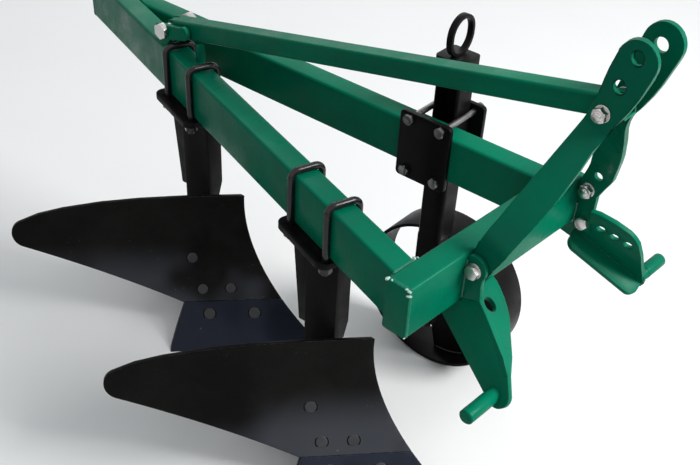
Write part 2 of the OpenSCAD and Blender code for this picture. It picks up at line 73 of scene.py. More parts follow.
MM = 0.001
NEAR = 1e-4
Point = tuple[float, float, float]
Flat = tuple[float, float]
Colour = tuple[float, float, float]
Hole = tuple[float, float, float]


class Side(Enum):
    """The two mirrored halves of the hitch."""

    RIGHT = 1
    LEFT = -1

    @property
    def word(self) -> str:
        """The half's name as node names carry it."""
        return self.name.lower()


class Body(Enum):
    """The bodies that pieces ride on."""

    FRAME = "frame"
    STANDARD = "standard"
    WHEEL = "wheel"


# ---------------------------------------------------------------- frames


def shift(x: float = 0.0, y: float = 0.0, z: float = 0.0) -> Matrix:
    """A move by x, y and z."""
    return Matrix.Translation((x, y, z))


def turn(x: float = 0.0, y: float = 0.0, z: float = 0.0) -> Matrix:
    """A turn in degrees about X, then Y, then Z."""
    rx, ry, rz = (Matrix.Rotation(math.radians(a), 4, k) for a, k in ((x, "X"), (y, "Y"), (z, "Z")))
    return rz @ ry @ rx


def mirror(side: Side) -> Matrix:
    """The reflection that takes the right half to this one."""
    return Matrix.Diagonal((side.value, 1, 1, 1))


HERE = Matrix.Identity(4)
# Stands a flat plate up: its x, its y and its thickness run along Y, Z and X.
UPRIGHT = Matrix(((0, 0, 1, 0), (1, 0, 0, 0), (0, 1, 0, 0), (0, 0, 0, 1)))


@dataclass(frozen=True)
class Layout:
    """Main places of the plough, in millimetres and degrees."""

    centre_x: float = 463.0
    centre_y: float = -335.0
    frame_top: float = 530.0
    tube_height: float = 80.0
    tube_width: float = 40.0
    cross_left: float = 232.0
    cross_right: float = 630.0
    cross_back: float = 62.5
    main_angle: float = 15.6
    main_x: float = 594.5
    main_rear: float = -920.0
    heading: float = 3.5
    side_x: float = 275.2
    hitch_x: float = 371.0
    body_step: Flat = (126.0, 435.0)
    edge_angle: float = 49.5
    point: Flat = (462.0, 132.0)

    @property
    def frame_bottom(self) -> float:
        """Height of the underside of the tubes."""
        return self.frame_top - self.tube_height

    @property
    def cross_front(self) -> float:
        """Front face of the crossbeam."""
        return self.cross_back + self.tube_width

    @property
    def main_length(self) -> float:
        """Length of the main beam along its own axis, behind the crossbeam."""
        return (self.cross_back - self.main_rear) / math.cos(math.radians(self.main_angle))

    def plough(self) -> Matrix:
        """From the plough's axes to the part's frame in metres."""
        return Matrix.Scale(MM, 4) @ shift(-self.centre_x, -self.centre_y)

    def main(self) -> Matrix:
        """Frame of the main beam, Y along it, at the crossbeam's rear face."""
        return self.plough() @ shift(self.main_x, self.cross_back) @ turn(z=-self.main_angle)

    def side(self) -> Matrix:
        """Frame of the side beam, Y along it, at the crossbeam's rear face."""
        return self.plough() @ shift(self.side_x, self.cross_back) @ turn(z=self.heading)

    def hitch(self, side: Side) -> Matrix:
        """Frame of one half of the hitch, X outwards from its centre plane."""
        return self.plough() @ shift(self.hitch_x) @ mirror(side)

    def body(self, i: int) -> Matrix:
        """Frame of plough body i, in the plough's own axes."""
        return self.plough() @ shift(-i * self.body_step[0], -i * self.body_step[1])

    def edge(self, i: int) -> Matrix:
        """Frame of the share's edge of body i, X to the wing and Y forward from it."""
        return self.body(i) @ shift(*self.point) @ turn(z=self.edge_angle - 90)


LAYOUT = Layout()


# ---------------------------------------------------------------- finishes


@dataclass(frozen=True)
class Noise:
    """Fractal noise in cycles a metre, and the part of its range that fades from none to full."""

    scale: float
    detail: float
    rough: float
    low: float = 0.0
    high: float = 1.0


WEAR_PATCHES = Noise(35.0, 5.0, 0.65, 0.62, 0.80)
WEAR_CHIPS = Noise(260.0, 4.0, 0.6, 0.38, 0.62)
DUST_CLOUDS = Noise(14.0, 6.0, 0.62, 0.42, 0.78)
DUST_SPECKS = Noise(420.0, 3.0, 0.7, 0.35, 0.75)
HAZE_PATCHES = Noise(4.5, 2.0, 0.5, 0.45, 0.60)
RUB_LINES = Noise(1.0, 2.0, 0.5, 0.70, 0.76)
RUB_BREAKS = Noise(11.0, 3.0, 0.6, 0.50, 0.66)
COLOUR_DRIFT = Noise(7.0, 5.0, 0.6, 0.35, 0.68)
SMEARS = Noise(24.0, 6.0, 0.7, 0.3, 0.7)
FLOOR_CLOUDS = Noise(3.0, 4.0, 0.55)

# How much further full wear brings the patches' lower bound down.
PATCH_REACH = 0.35
# How far the rounded normal leans from the plain one where wear starts and where it is full.
EDGE_LEAN = (0.02, 0.16)
# Upward part of the normal without dust and with all of it, and the shares of dust there.
DUST_FACING = (-0.2, 1.0, 0.25, 1.0)
# Share of dust in the troughs of its specks.
SPECK_FLOOR = 0.35
# Heights in metres between which the haze thickens downwards; where its colour is bluish it is partly a painted sky
# reflection.
HAZE_HEIGHTS = (0.165, 0.085)
# Turn of the rub marks, and their cycles a metre along and across them.
RUB_TURN = (0.5, 0.3, 0.8)
RUB_SCALE = (14.0, 260.0, 260.0)
RUB_STRENGTH = 0.6
# Swing of the roughness about its middle, and what dust and rubs add to it.
ROUGH_SWING = 0.12
ROUGH_DUST = 0.35


class Graph:
    """The node tree of a material or a world, written as a chain of short calls."""

    def __init__(self, owner: Union[Material, World]) -> None:
        """Empties the owner's tree.

        Args:
            owner: the material or the world.
        """
        owner.use_nodes = True
        self.tree = owner.node_tree
        self.tree.nodes.clear()

    def feed(self, socket: NodeSocket, value: object) -> None:
        """Gives a socket its value or its link.

        Args:
            socket: the input.
            value: a plain value, or another node's output.
        """
        if isinstance(value, NodeSocket):
            self.tree.links.new(value, socket)
        else:
            socket.default_value = value

    def node(self, kind: str, **inputs: object) -> Node:
        """Adds a node.

        Args:
            kind: the node's type without ShaderNode.
            inputs: values or sockets by input name, with underscores for spaces; names in lower case set properties.

        Returns:
            The node.
        """
        made = self.tree.nodes.new("ShaderNode" + kind)
        for name, value in inputs.items():
            if name[0].islower():
                setattr(made, name, value)
            else:
                self.feed(made.inputs[name.replace("_", " ")], value)
        return made

    def math(self, operation: str, *values: object) -> NodeSocket:
        """Joins values by Math nodes, from left to right, each result kept within 0 and 1.

        Args:
            operation: the nodes' operation.
            values: plain values and sockets.

        Returns:
            The last result.
        """
        made = values[0]
        for value in values[1:]:
            node = self.node("Math", operation=operation, use_clamp=True)
            self.feed(node.inputs[0], made)
            self.feed(node.inputs[1], value)
            made = node.outputs[0]
        return made

    def dot(self, a: NodeSocket, b: object) -> NodeSocket:
        """The dot product of two vectors.

        Args:
            a: the first.
            b: the second.

        Returns:
            The product.
        """
        made = self.node("VectorMath", operation="DOT_PRODUCT")
        self.feed(made.inputs[0], a)
        self.feed(made.inputs[1], b)
        return made.outputs["Value"]

    def span(self, value: NodeSocket, low: float, high: float, to_low: float = 0.0, to_high: float = 1.0) -> NodeSocket:
        """Maps a range smoothly to another, clamped.

        Args:
            value: what is mapped.
            low: start of its range.
            high: end of its range.
            to_low: what the start becomes.
            to_high: what the end becomes.

        Returns:
            The mapped value.
        """
        made = self.node("MapRange", Value=value, From_Min=low, From_Max=high, To_Min=to_low, To_Max=to_high)
        made.interpolation_type = "SMOOTHSTEP"
        return made.outputs[0]

    def fractal(self, where: NodeSocket, noise: Noise) -> NodeSocket:
        """Plain noise over its whole range."""
        made = self.node("TexNoise", Vector=where, Scale=noise.scale, Detail=noise.detail, Roughness=noise.rough)
        return made.outputs["Fac"]

    def cloud(self, where: NodeSocket, noise: Noise, to_low: float = 0.0, to_high: float = 1.0) -> NodeSocket:
        """Noise faded between its bounds."""
        return self.span(self.fractal(where, noise), noise.low, noise.high, to_low, to_high)

    def blend(self, factor: NodeSocket, low: object, high: object) -> NodeSocket:
        """A mix of two colours.

        Args:
            factor: the share of the second.
            low: first colour or socket.
            high: second colour or socket.

        Returns:
            The colour.
        """
        made = self.node("Mix", data_type="RGBA", blend_type="MIX", clamp_factor=True)
        self.feed(made.inputs[0], factor)
        for socket, value in ((made.inputs[6], low), (made.inputs[7], high)):
            self.feed(socket, value if isinstance(value, NodeSocket) else (*value, 1.0))
        return made.outputs[2]

    def seen(self) -> NodeSocket:
        """1 for rays from the camera, from a gloss and through clear matter, and 0 for all others."""
        path = self.node("LightPath").outputs
        return self.math("MAXIMUM", path["Is Camera Ray"], path["Is Glossy Ray"], path["Is Transmission Ray"])


@dataclass(frozen=True)
class Finish:
    """A surface finish: its colours, gloss, grain and wear."""

    name: str
    slot: str
    colour: Colour
    drift: Colour
    worn: Colour
    rough: float = 0.3
    metal: float = 0.0
    worn_metal: float = 0.0
    coat: float = 0.0
    coat_rough: float = 0.1
    wear: float = 0.5
    wear_width: float = 1.2
    grain: float = 700.0
    grain_height: float = 0.00005
    dust: float = 0.25
    # Colour of dust, which on the board and the share is also a painted sky reflection.
    dust_and_sheen_colour: Colour = (0.30, 0.28, 0.25)
    scratch: float = 0.2
    shine: float = 0.3
    haze_and_sheen: float = 0.0

    def material(self) -> Material:
        """The finish as a material, made at its first use.

        Returns:
            The material.
        """
        made = bpy.data.materials.get(self.name)
        if made is None:
            made = bpy.data.materials.new(self.name)
            self.build(Graph(made))
        return made

    def edges(self, g: Graph, where: NodeSocket) -> tuple[NodeSocket, NodeSocket]:
        """Wear along edges, which on the green finishes is also a painted edge highlight.

        Args:
            g: the node tree.
            where: object coordinates.

        Returns:
            The wear mask and the rounded normal.
        """
        rounded = g.node("Bevel", samples=6, Radius=self.wear_width * MM).outputs[0]
        lean = g.math("SUBTRACT", 1.0, g.dot(rounded, g.node("NewGeometry").outputs["Normal"]))
        patches = g.cloud(where, replace(WEAR_PATCHES, low=WEAR_PATCHES.low - PATCH_REACH * self.wear))
        return g.math("MULTIPLY", g.span(lean, *EDGE_LEAN), g.cloud(where, WEAR_CHIPS), patches), rounded

    def dusty(self, g: Graph, where: NodeSocket) -> NodeSocket:
        """The mask of fine dust, thicker on faces that look up, and of haze near the ground; with a bluish dust colour,
        as on the board and the share, it also paints a sky reflection.

        Args:
            g: the node tree.
            where: object coordinates.

        Returns:
            The mask.
        """
        normal = g.node("SeparateXYZ", Vector=g.node("NewGeometry").outputs["Normal"]).outputs["Z"]
        specks = g.cloud(where, DUST_SPECKS, SPECK_FLOOR)
        dust = g.math("MULTIPLY", g.cloud(where, DUST_CLOUDS), specks, g.span(normal, *DUST_FACING), self.dust)
        if not self.haze_and_sheen:
            return dust
        low = g.span(g.node("SeparateXYZ", Vector=where).outputs["Z"], *HAZE_HEIGHTS)
        return g.math("MAXIMUM", dust, g.math("MULTIPLY", low, g.cloud(where, HAZE_PATCHES), self.haze_and_sheen))

    def rubbed(self, g: Graph, where: NodeSocket) -> NodeSocket:
        """The mask of long thin rub marks.

        Args:
            g: the node tree.
            where: object coordinates.

        Returns:
            The mask.
        """
        lie = g.node("Mapping", Vector=where, Rotation=RUB_TURN, Scale=RUB_SCALE).outputs[0]
        return g.math("MULTIPLY", g.cloud(lie, RUB_LINES), g.cloud(where, RUB_BREAKS), self.scratch)

    def build(self, g: Graph) -> None:
        """Fills the node tree.

        Args:
            g: the node tree.
        """
        where = g.node("TexCoord").outputs["Object"]
        wear, rounded = self.edges(g, where)
        dust = self.dusty(g, where)
        rubs = self.rubbed(g, where)
        colour = g.blend(g.cloud(where, COLOUR_DRIFT), self.colour, self.drift)
        # Dust and haze colour over their mask; its blue tint on the board and the share is a painted sky reflection.
        colour = g.blend(dust, colour, self.dust_and_sheen_colour)
        # Lighter along worn edges and rubs; on the green finishes the lighter edges are partly a painted highlight.
        colour = g.blend(g.math("MAXIMUM", wear, g.math("MULTIPLY", rubs, RUB_STRENGTH)), colour, self.worn)
        rough = g.cloud(where, SMEARS, self.rough - ROUGH_SWING, self.rough + ROUGH_SWING)
        rough = g.math("ADD", rough, g.math("MULTIPLY", g.math("MAXIMUM", dust, rubs), ROUGH_DUST))
        metal: object = self.metal
        if self.worn_metal != self.metal:
            metal = g.math("ADD", self.metal, g.math("MULTIPLY", wear, self.worn_metal - self.metal))
        peel = g.fractal(where, Noise(self.grain, 2.0, 0.5))
        bump = g.node("Bump", Strength=1.0, Distance=self.grain_height, Height=peel, Normal=rounded)
        shader = g.node(
            "BsdfPrincipled",
            Base_Color=colour,
            Roughness=rough,
            Metallic=metal,
            Coat_Weight=self.coat,
            Coat_Roughness=self.coat_rough,
            Specular_IOR_Level=self.shine,
            Normal=bump.outputs[0],
        )
        g.node("OutputMaterial", Surface=shader.outputs[0])


# The worn colour, a lighter teal green along the edges, is partly wear and partly a painted edge highlight.
GREEN = Finish(
    "green_enamel", "green_paint", (0.0002, 0.158, 0.084), (0.0003, 0.122, 0.068), (0.16, 0.46, 0.36), rough=0.34,
    coat=0.02, coat_rough=0.12, wear=0.62, wear_width=1.4, dust=0.04, grain=520.0, grain_height=0.00006, scratch=0.22,
    shine=0.04,
)
BLACK = Finish(
    "black_enamel", "black_paint", (0.0036, 0.0035, 0.0036), (0.0065, 0.0060, 0.0056), (0.13, 0.13, 0.13), rough=0.42,
    coat=0.02, coat_rough=0.2, wear=0.5, wear_width=1.2, dust=0.02, scratch=0.25, shine=0.05,
)
# Bluish dust and haze on up-facing and low parts: partly dust, partly a painted sky reflection.
BOARD = Finish(
    "board_enamel_sky_tinted", "black_paint", (0.0040, 0.0037, 0.0034), (0.0085, 0.0080, 0.0072), (0.26, 0.27, 0.29), rough=0.36,
    coat=0.01, coat_rough=0.22, wear=0.75, wear_width=1.3, dust=0.06, dust_and_sheen_colour=(0.085, 0.092, 0.110), scratch=0.45,
    grain=380.0, shine=0.05, haze_and_sheen=0.45,
)
# Blue-tinted black and bluish dust: partly the share's own paint and dust, partly a painted sky reflection.
SHARE = Finish(
    "share_enamel_sky_tinted", "black_paint", (0.0070, 0.0090, 0.0170), (0.0110, 0.0130, 0.0210), (0.34, 0.34, 0.34), rough=0.40,
    coat=0.02, coat_rough=0.25, wear=0.9, wear_width=1.6, dust=0.12, dust_and_sheen_colour=(0.07, 0.08, 0.11), scratch=0.6,
    grain=340.0, shine=0.05, haze_and_sheen=0.15,
)
HEAD = Finish(
    "board_bolt_head", "black_paint", (0.010, 0.0105, 0.0125), (0.018, 0.019, 0.021), (0.30, 0.31, 0.32), rough=0.40,
    wear=0.8, wear_width=0.5, dust=0.2, dust_and_sheen_colour=(0.11, 0.11, 0.12), scratch=0.5, shine=0.4,
)
# Painted shade: a near-black ring round each countersunk bolt head stands for the shade in its countersink.
SHADE_RING = Finish(
    "bolt_shade_ring", "black_paint", (0.0010, 0.0010, 0.0012), (0.0018, 0.0018, 0.0020), (0.02, 0.02, 0.02), rough=0.75,
    wear=0.1, wear_width=0.3, dust=0.0, scratch=0.0, shine=0.1,
)
# A wider, lighter band along the caps' edges: partly wear, partly a painted edge highlight.
WORN_HIGHLIT_GREEN = replace(GREEN, name="green_worn_highlit_edges", wear=1.3, wear_width=1.8, worn=(0.30, 0.60, 0.50))
ZINC = Finish(
    "zinc_plate", "zinc", (0.62, 0.60, 0.59), (0.44, 0.42, 0.41), (0.82, 0.80, 0.80), metal=1.0, worn_metal=1.0,
    wear=0.6, wear_width=0.6, dust=0.10, grain=1400.0, grain_height=0.00003, scratch=0.3, shine=0.5,
)
DULL_ZINC = Finish(
    "dull_zinc", "zinc", (0.20, 0.20, 0.20), (0.11, 0.11, 0.11), (0.55, 0.55, 0.54), rough=0.36, metal=1.0,
    worn_metal=1.0, wear=0.7, wear_width=0.6, dust=0.12, grain=1200.0, grain_height=0.00004, scratch=0.4, shine=0.5,
)
STEEL = Finish(
    "u_bolt_steel", "dark_steel", (0.014, 0.014, 0.015), (0.008, 0.008, 0.008), (0.34, 0.34, 0.34), rough=0.20,
    worn_metal=1.0, wear_width=0.5, dust=0.02, grain=1100.0, scratch=0.4,
)
WELD_GREEN = Finish(
    "green_weld", "green_paint", (0.0006, 0.135, 0.078), (0.001, 0.105, 0.064), (0.30, 0.56, 0.46), coat=0.3,
    wear=0.8, wear_width=0.8, dust=0.10, grain=900.0, grain_height=0.00015,
)
WELD_BLACK = Finish(
    "black_weld", "black_paint", (0.005, 0.005, 0.0055), (0.010, 0.010, 0.010), (0.2, 0.2, 0.2), rough=0.36, coat=0.2,
    coat_rough=0.15, wear_width=0.8, dust=0.10, grain=900.0, grain_height=0.00015,
)
WORN_WHITE = Finish(
    "chipped_paint", "green_paint", (0.30, 0.47, 0.41), (0.48, 0.62, 0.56), (0.8, 0.85, 0.82), rough=0.55, wear=0.4,
    wear_width=0.4, dust=0.1, grain=900.0, grain_height=0.0002,
)


# ---------------------------------------------------------------- mesh work


class Shape:
    """A mesh in the making, in the millimetres of its own frame."""

    def __init__(self) -> None:
        """Starts an empty mesh."""
        self.bm = bmesh.new()

    def outward(self) -> "Shape":
        """Turns all faces outwards."""
        bmesh.ops.recalc_face_normals(self.bm, faces=self.bm.faces)
        return self

    def move(self, where: Matrix) -> "Shape":
        """Moves the shape, and keeps its faces outwards where it is mirrored.

        Args:
            where: the move.

        Returns:
            This shape.
        """
        self.bm.transform(where)
        if where.determinant() < 0:
            bmesh.ops.reverse_faces(self.bm, faces=self.bm.faces)
        return self

    def split(self, at: Sequence[float], normal: Sequence[float], clear: bool = False) -> list[BMEdge]:
        """Divides the faces along a plane.

        Args:
            at: a point of the plane.
            normal: its normal.
            clear: whether what lies on the normal's side goes.

        Returns:
            The edges in the plane.
        """
        geom = [*self.bm.verts, *self.bm.edges, *self.bm.faces]
        made = bmesh.ops.bisect_plane(self.bm, geom=geom, dist=NEAR, plane_co=at, plane_no=normal, clear_outer=clear)
        return [e for e in made["geom_cut"] if isinstance(e, BMEdge)]

    def cut(self, at: Sequence[float], normal: Sequence[float]) -> "Shape":
        """Cuts away what lies on the normal's side of a plane and closes the cut.

        Args:
            at: a point of the plane.
            normal: the side that goes.

        Returns:
            This shape.
        """
        rim = self.split(at, normal, clear=True)
        if rim:
            bmesh.ops.holes_fill(self.bm, edges=rim, sides=0)
        return self

    def notch(self, low: float, front: float) -> "Shape":
        """Takes away what stands above a height and behind a plane.

        Args:
            low: the height.
            front: the plane, by its place along Y.

        Returns:
            This shape.
        """
        bm, touch = self.bm, 0.01
        self.split((0, 0, low), (0, 0, 1))
        self.split((0, front, 0), (0, 1, 0))
        middles = {f: f.calc_center_median() for f in bm.faces}
        bmesh.ops.delete(bm, geom=[f for f, m in middles.items() if m.z > low and m.y < front], context="FACES")
        rim = [v for v in bm.verts if v.is_boundary]
        corner = [v for v in rim if abs(v.co.z - low) < touch and abs(v.co.y - front) < touch]
        if len(corner) == 2:
            bm.edges.new(corner)
        bmesh.ops.holes_fill(bm, edges=[e for e in bm.edges if e.is_boundary or e.is_wire], sides=0)
        return self.outward()

    def soften(self, width: float, segments: int = 2, angle: float = 32.0) -> "Shape":
        """Rounds the sharp edges.

        Args:
            width: how far back from the edge the rounding starts.
            segments: strips in the rounding.
            angle: the least angle between faces that counts as sharp.

        Returns:
            This shape.
        """
        limit = math.radians(angle)
        sharp = [e for e in self.bm.edges if e.is_manifold and e.calc_face_angle(0.0) > limit]
        bmesh.ops.bevel(
            self.bm, geom=sharp, offset=width, offset_type="OFFSET", affect="EDGES", segments=segments, profile=0.5,
            material=-1, clamp_overlap=True,
        )
        return self

    def join(self, other: "Shape", where: Matrix = HERE) -> "Shape":
        """Adds another shape to this one.

        Args:
            other: the shape, which is used up.
            where: its place in this one's frame.

        Returns:
            This shape.
        """
        held = bpy.data.meshes.new("held")
        other.move(where).bm.to_mesh(held)
        other.bm.free()
        self.bm.from_mesh(held)
        bpy.data.meshes.remove(held)
        return self


def lathe(profile: Sequence[Flat], steps: int = 32) -> Shape:
    """Spins a profile about Z.

    Args:
        profile: (radius, height) points, from the axis to the axis or round a closed ring.
        steps: facets round the turn.

    Returns:
        The shape.
    """
    shape = Shape()
    bm = shape.bm
    verts = [bm.verts.new((r, 0.0, z)) for r, z in profile]
    edges = [bm.edges.new(pair) for pair in zip(verts, verts[1:])]
    bmesh.ops.spin(
        bm, geom=[*verts, *edges], cent=(0, 0, 0), axis=(0, 0, 1), angle=math.tau, steps=steps, use_merge=True,
    )
    bmesh.ops.remove_doubles(bm, verts=bm.verts, dist=NEAR)
    return shape.outward()


def arc(centre: Flat, radius: float, start: float, end: float, steps: int = 8) -> list[Flat]:
    """Points on an arc, its angles in degrees."""
    turns = (math.radians(start + (end - start) * k / steps) for k in range(steps + 1))
    return [(centre[0] + radius * math.cos(a), centre[1] + radius * math.sin(a)) for a in turns]


def plate(outline: Sequence[Flat], thickness: float, holes: Sequence[Hole] = (), hole_sides: int = 24) -> Shape:
    """A flat plate between z = 0 and its thickness.

    Args:
        outline: its outline in x and y.
        thickness: how thick it is.
        holes: x, y and diameter of each round hole through it.
        hole_sides: sides of a hole.

    Returns:
        The shape.
    """
    shape = Shape()
    bm = shape.bm
    last = hole_sides - 1
    loops = [list(outline)] + [arc((x, y), d / 2, 0, 360 * last / hole_sides, last) for x, y, d in holes]
    for loop in loops:
        verts = [bm.verts.new((x, y, 0.0)) for x, y in loop]
        for pair in zip(verts, verts[1:] + verts[:1]):
            bm.edges.new(pair)
    bmesh.ops.triangle_fill(bm, use_beauty=True, edges=list(bm.edges), normal=(0, 0, 1))
    bmesh.ops.solidify(bm, geom=list(bm.faces), thickness=thickness)
    shape.move(shift(z=-min(v.co.z for v in bm.verts)))
    return shape.outward()


def softened(node: Object, width: float, merge: float = 2e-6, level: float = 0.4) -> Shape:
    """A merged copy of a CAD node with its sharp edges rounded.

    Args:
        node: the CAD node, which stays as it is.
        width: how far back from the edges the rounding starts, in millimetres.
        merge: points closer than this, in metres, become one.
        level: faces that meet at less than this angle in degrees become one.

    Returns:
        The shape, already in the part's frame in metres.
    """
    shape = Shape()
    bm = shape.bm
    bm.from_mesh(node.data)
    bmesh.ops.remove_doubles(bm, verts=bm.verts, dist=merge)
    bmesh.ops.dissolve_limit(
        bm, angle_limit=math.radians(level), verts=bm.verts, edges=bm.edges, delimit={"NORMAL"}
    )
    return shape.soften(width * MM)


def hexagon(across: float, height: float, chamfer: float = 1.6, inset: float = 0.35, flat: float = 0.93) -> Shape:
    """A bolt head or nut on z = 0, with its corners turned down at the top.

    Args:
        across: width across the flats.
        height: its height.
        chamfer: how much the corners lose.
        inset: width of the strip between the corners and the flat top.
        flat: radius of the flat top, as a share of where the corners start to turn down.

    Returns:
        The shape.
    """
    shape = Shape()
    bm = shape.bm
    corner, turned = across / math.sqrt(3), across / 2 * 0.985
    bmesh.ops.create_circle(bm, cap_ends=True, radius=corner, segments=6)
    bmesh.ops.subdivide_edges(bm, edges=list(bm.edges), cuts=3)
    raised = bmesh.ops.extrude_face_region(bm, geom=list(bm.faces))["geom"]
    top = [v for v in raised if isinstance(v, BMVert)]
    bmesh.ops.translate(bm, vec=(0, 0, height), verts=top)
    for v in top:
        over = math.hypot(v.co.x, v.co.y) - turned
        v.co.z -= max(over, 0.0) / (corner - turned) * chamfer
    cap = [f for f in raised if isinstance(f, BMFace)]
    bmesh.ops.inset_region(bm, faces=cap, thickness=inset, depth=0.0, use_even_offset=True)
    for v in {v for f in cap if f.is_valid for v in f.verts}:
        v.co.xy *= turned * flat / math.hypot(v.co.x, v.co.y)
        v.co.z = height
    return shape.outward()


def thread(radius: float, length: float, pitch: float = 1.75) -> Shape:
    """A threaded bolt end that stands on z = 0, with a chamfered tip.

    Args:
        radius: outer radius.
        length: its length.
        pitch: distance from ring to ring.

    Returns:
        The shape.
    """
    root = radius - pitch * 0.5
    profile: list[Flat] = [(0.0, 0.0), (root, 0.0)]
    z = 0.0
    while z + pitch < length - 0.8:
        profile += [(radius, z + pitch * 0.4), (radius, z + pitch * 0.55), (root, z + pitch * 0.95)]
        z += pitch
    profile += [(root, length - 0.7), (root - 1.0, length), (0.0, length)]
    return lathe(profile, 24)


def washer(inner: float, outer: float, thickness: float) -> Shape:
    """A flat washer on z = 0 with its edges eased.

    Args:
        inner: radius of its hole.
        outer: its radius.
        thickness: how thick it is.

    Returns:
        The shape.
    """
    e = thickness * 0.2
    return lathe([
        (inner, 0), (outer - e, 0), (outer, e), (outer, thickness - e), (outer - e, thickness), (inner + e, thickness),
        (inner, thickness - e), (inner, 0),
    ])


@dataclass(frozen=True)
class Bolt:
    """A hexagon bolt with its nut, along the local Z of its frame."""

    diameter: float
    across: float
    head: float
    grip: float
    tail: float
    washers: float = 0.0
    head_washer: float = 0.0
    slack: float = 0.4

    def shape(self) -> Shape:
        """The bolt with the underside of its head on z = 0, and its shank towards -Z.

        Returns:
            The shape.
        """
        r = self.diameter / 2
        made = Shape()
        if self.head_washer:
            made.join(washer(r + self.slack, r * 1.95, self.head_washer))
        made.join(hexagon(self.across, self.head), shift(z=self.head_washer))
        made.join(lathe([(0, 0.5), (r, 0.5), (r, -self.grip), (0, -self.grip)], 24))
        nut_top = -self.grip
        if self.washers:
            nut_top -= self.washers
            made.join(washer(r + self.slack, r * 1.9, self.washers), shift(z=nut_top))
        nut_height = self.diameter * 0.8
        made.join(hexagon(self.across, nut_height), shift(z=nut_top) @ turn(x=180))
        return made.join(thread(r, nut_height + self.tail), shift(z=nut_top) @ turn(x=180))


@dataclass(frozen=True)
class WeldBead:
    """A fillet weld: a rippled bead along a line in a corner."""

    radius: float = 3.2
    ripple: float = 4.0
    end: float = 0.45

    def swell(self, k: int, seed: float) -> float:
        """The bead's thickness at ring k, as a share of its radius."""
        return 0.88 + 0.12 * math.cos(k * math.tau / 3) + 0.08 * math.sin(k * 0.61 + seed)

    def along(self, line: Sequence[Sequence[float]], seed: float = 0.0) -> Shape:
        """The bead along a line of points.

        Args:
            line: corner points, in the frame's millimetres.
            seed: shifts the ripple, so that no two beads match.

        Returns:
            The shape.
        """
        points = [Vector(p) for p in line]
        runs: list[tuple[Vector, Vector]] = []
        for a, b in zip(points, points[1:]):
            count = max(int((b - a).length / (self.ripple / 3)), 2)
            runs += [(a.lerp(b, k / count), (b - a).normalized()) for k in range(count)]
        runs.append((points[-1], (points[-1] - points[-2]).normalized()))
        shape = Shape()
        bm = shape.bm
        ring: list[BMVert] = []
        for k, (at, ahead) in enumerate(runs):
            ends = k in (0, len(runs) - 1)
            radius = self.radius * (self.swell(k, seed) * (self.end if ends else 1.0))
            frame = Matrix.Translation(at) @ ahead.to_track_quat("Z", "Y").to_matrix().to_4x4()
            fresh = bmesh.ops.create_circle(bm, cap_ends=ends, radius=radius, segments=8, matrix=frame)["verts"]
            if ring:
                both = (*ring, *fresh)
                edges = {e for v in both for e in v.link_edges if e.other_vert(v) in both}
                bmesh.ops.bridge_loops(bm, edges=list(edges))
            ring = fresh
        return shape.outward()


def stand(name: str, data: ID) -> Object:
    """Makes an object of its data and links it into the scene.

    Args:
        name: its name.
        data: its mesh, lamp or camera.

    Returns:
        The object.
    """
    made = bpy.data.objects.new(name, data)
    bpy.context.scene.collection.objects.link(made)
    return made


# ---------------------------------------------------------------- sub-assemblies


@dataclass
class Assembly:
    """A sub-assembly: it knows the CAD nodes and makes pieces that stand for them."""

    nodes: dict[str, Object]
    made: list[Object] = field(default_factory=list)

    def add(self, shape: Shape, name: str, finish: Finish, where: Matrix, body: Body = Body.FRAME,
            smooth: float = 40.0) -> Object:
        """Makes a piece of a shape.

        Args:
            shape: the shape, which is used up.
            name: the piece's name.
            finish: its finish.
            where: from its frame to the part's frame in metres.
            body: the body it rides on.
            smooth: the greatest angle in degrees that is shaded smooth.

        Returns:
            The piece.
        """
        mesh = bpy.data.meshes.new(name)
        shape.move(where).bm.to_mesh(mesh)
        shape.bm.free()
        mesh.shade_smooth()
        mesh.set_sharp_from_angle(angle=math.radians(smooth))
        mesh.materials.append(finish.material())
        piece = stand(name, mesh)
        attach(piece, body.value)
        self.made.append(piece)
        log.info("%s: %d faces", name, len(mesh.polygons))
        return piece

    def stand_in(self, shape: Shape, node: str, finish: Finish, where: Matrix = HERE, body: Body = Body.FRAME,
                 smooth: float = 40.0) -> None:
        """Makes a piece of a shape and sets it in a CAD node's place, with the arguments of add."""
        piece = self.add(shape, node + "_dressed", finish, where, body, smooth)
        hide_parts(node)

    def soften(self, names: Iterable[str], finish: Finish, body: Body = Body.FRAME, width: float = 0.9) -> None:
        """Stands softened copies in for CAD nodes.

        Args:
            names: the nodes.
            finish: their finish.
            body: the body they ride on.
            width: the rounding of their edges in millimetres.
        """
        for name in names:
            self.stand_in(softened(self.nodes[name], width), name, finish, body=body, smooth=30.0)

    def build(self) -> None:
        """Makes the pieces."""
        raise NotImplementedError


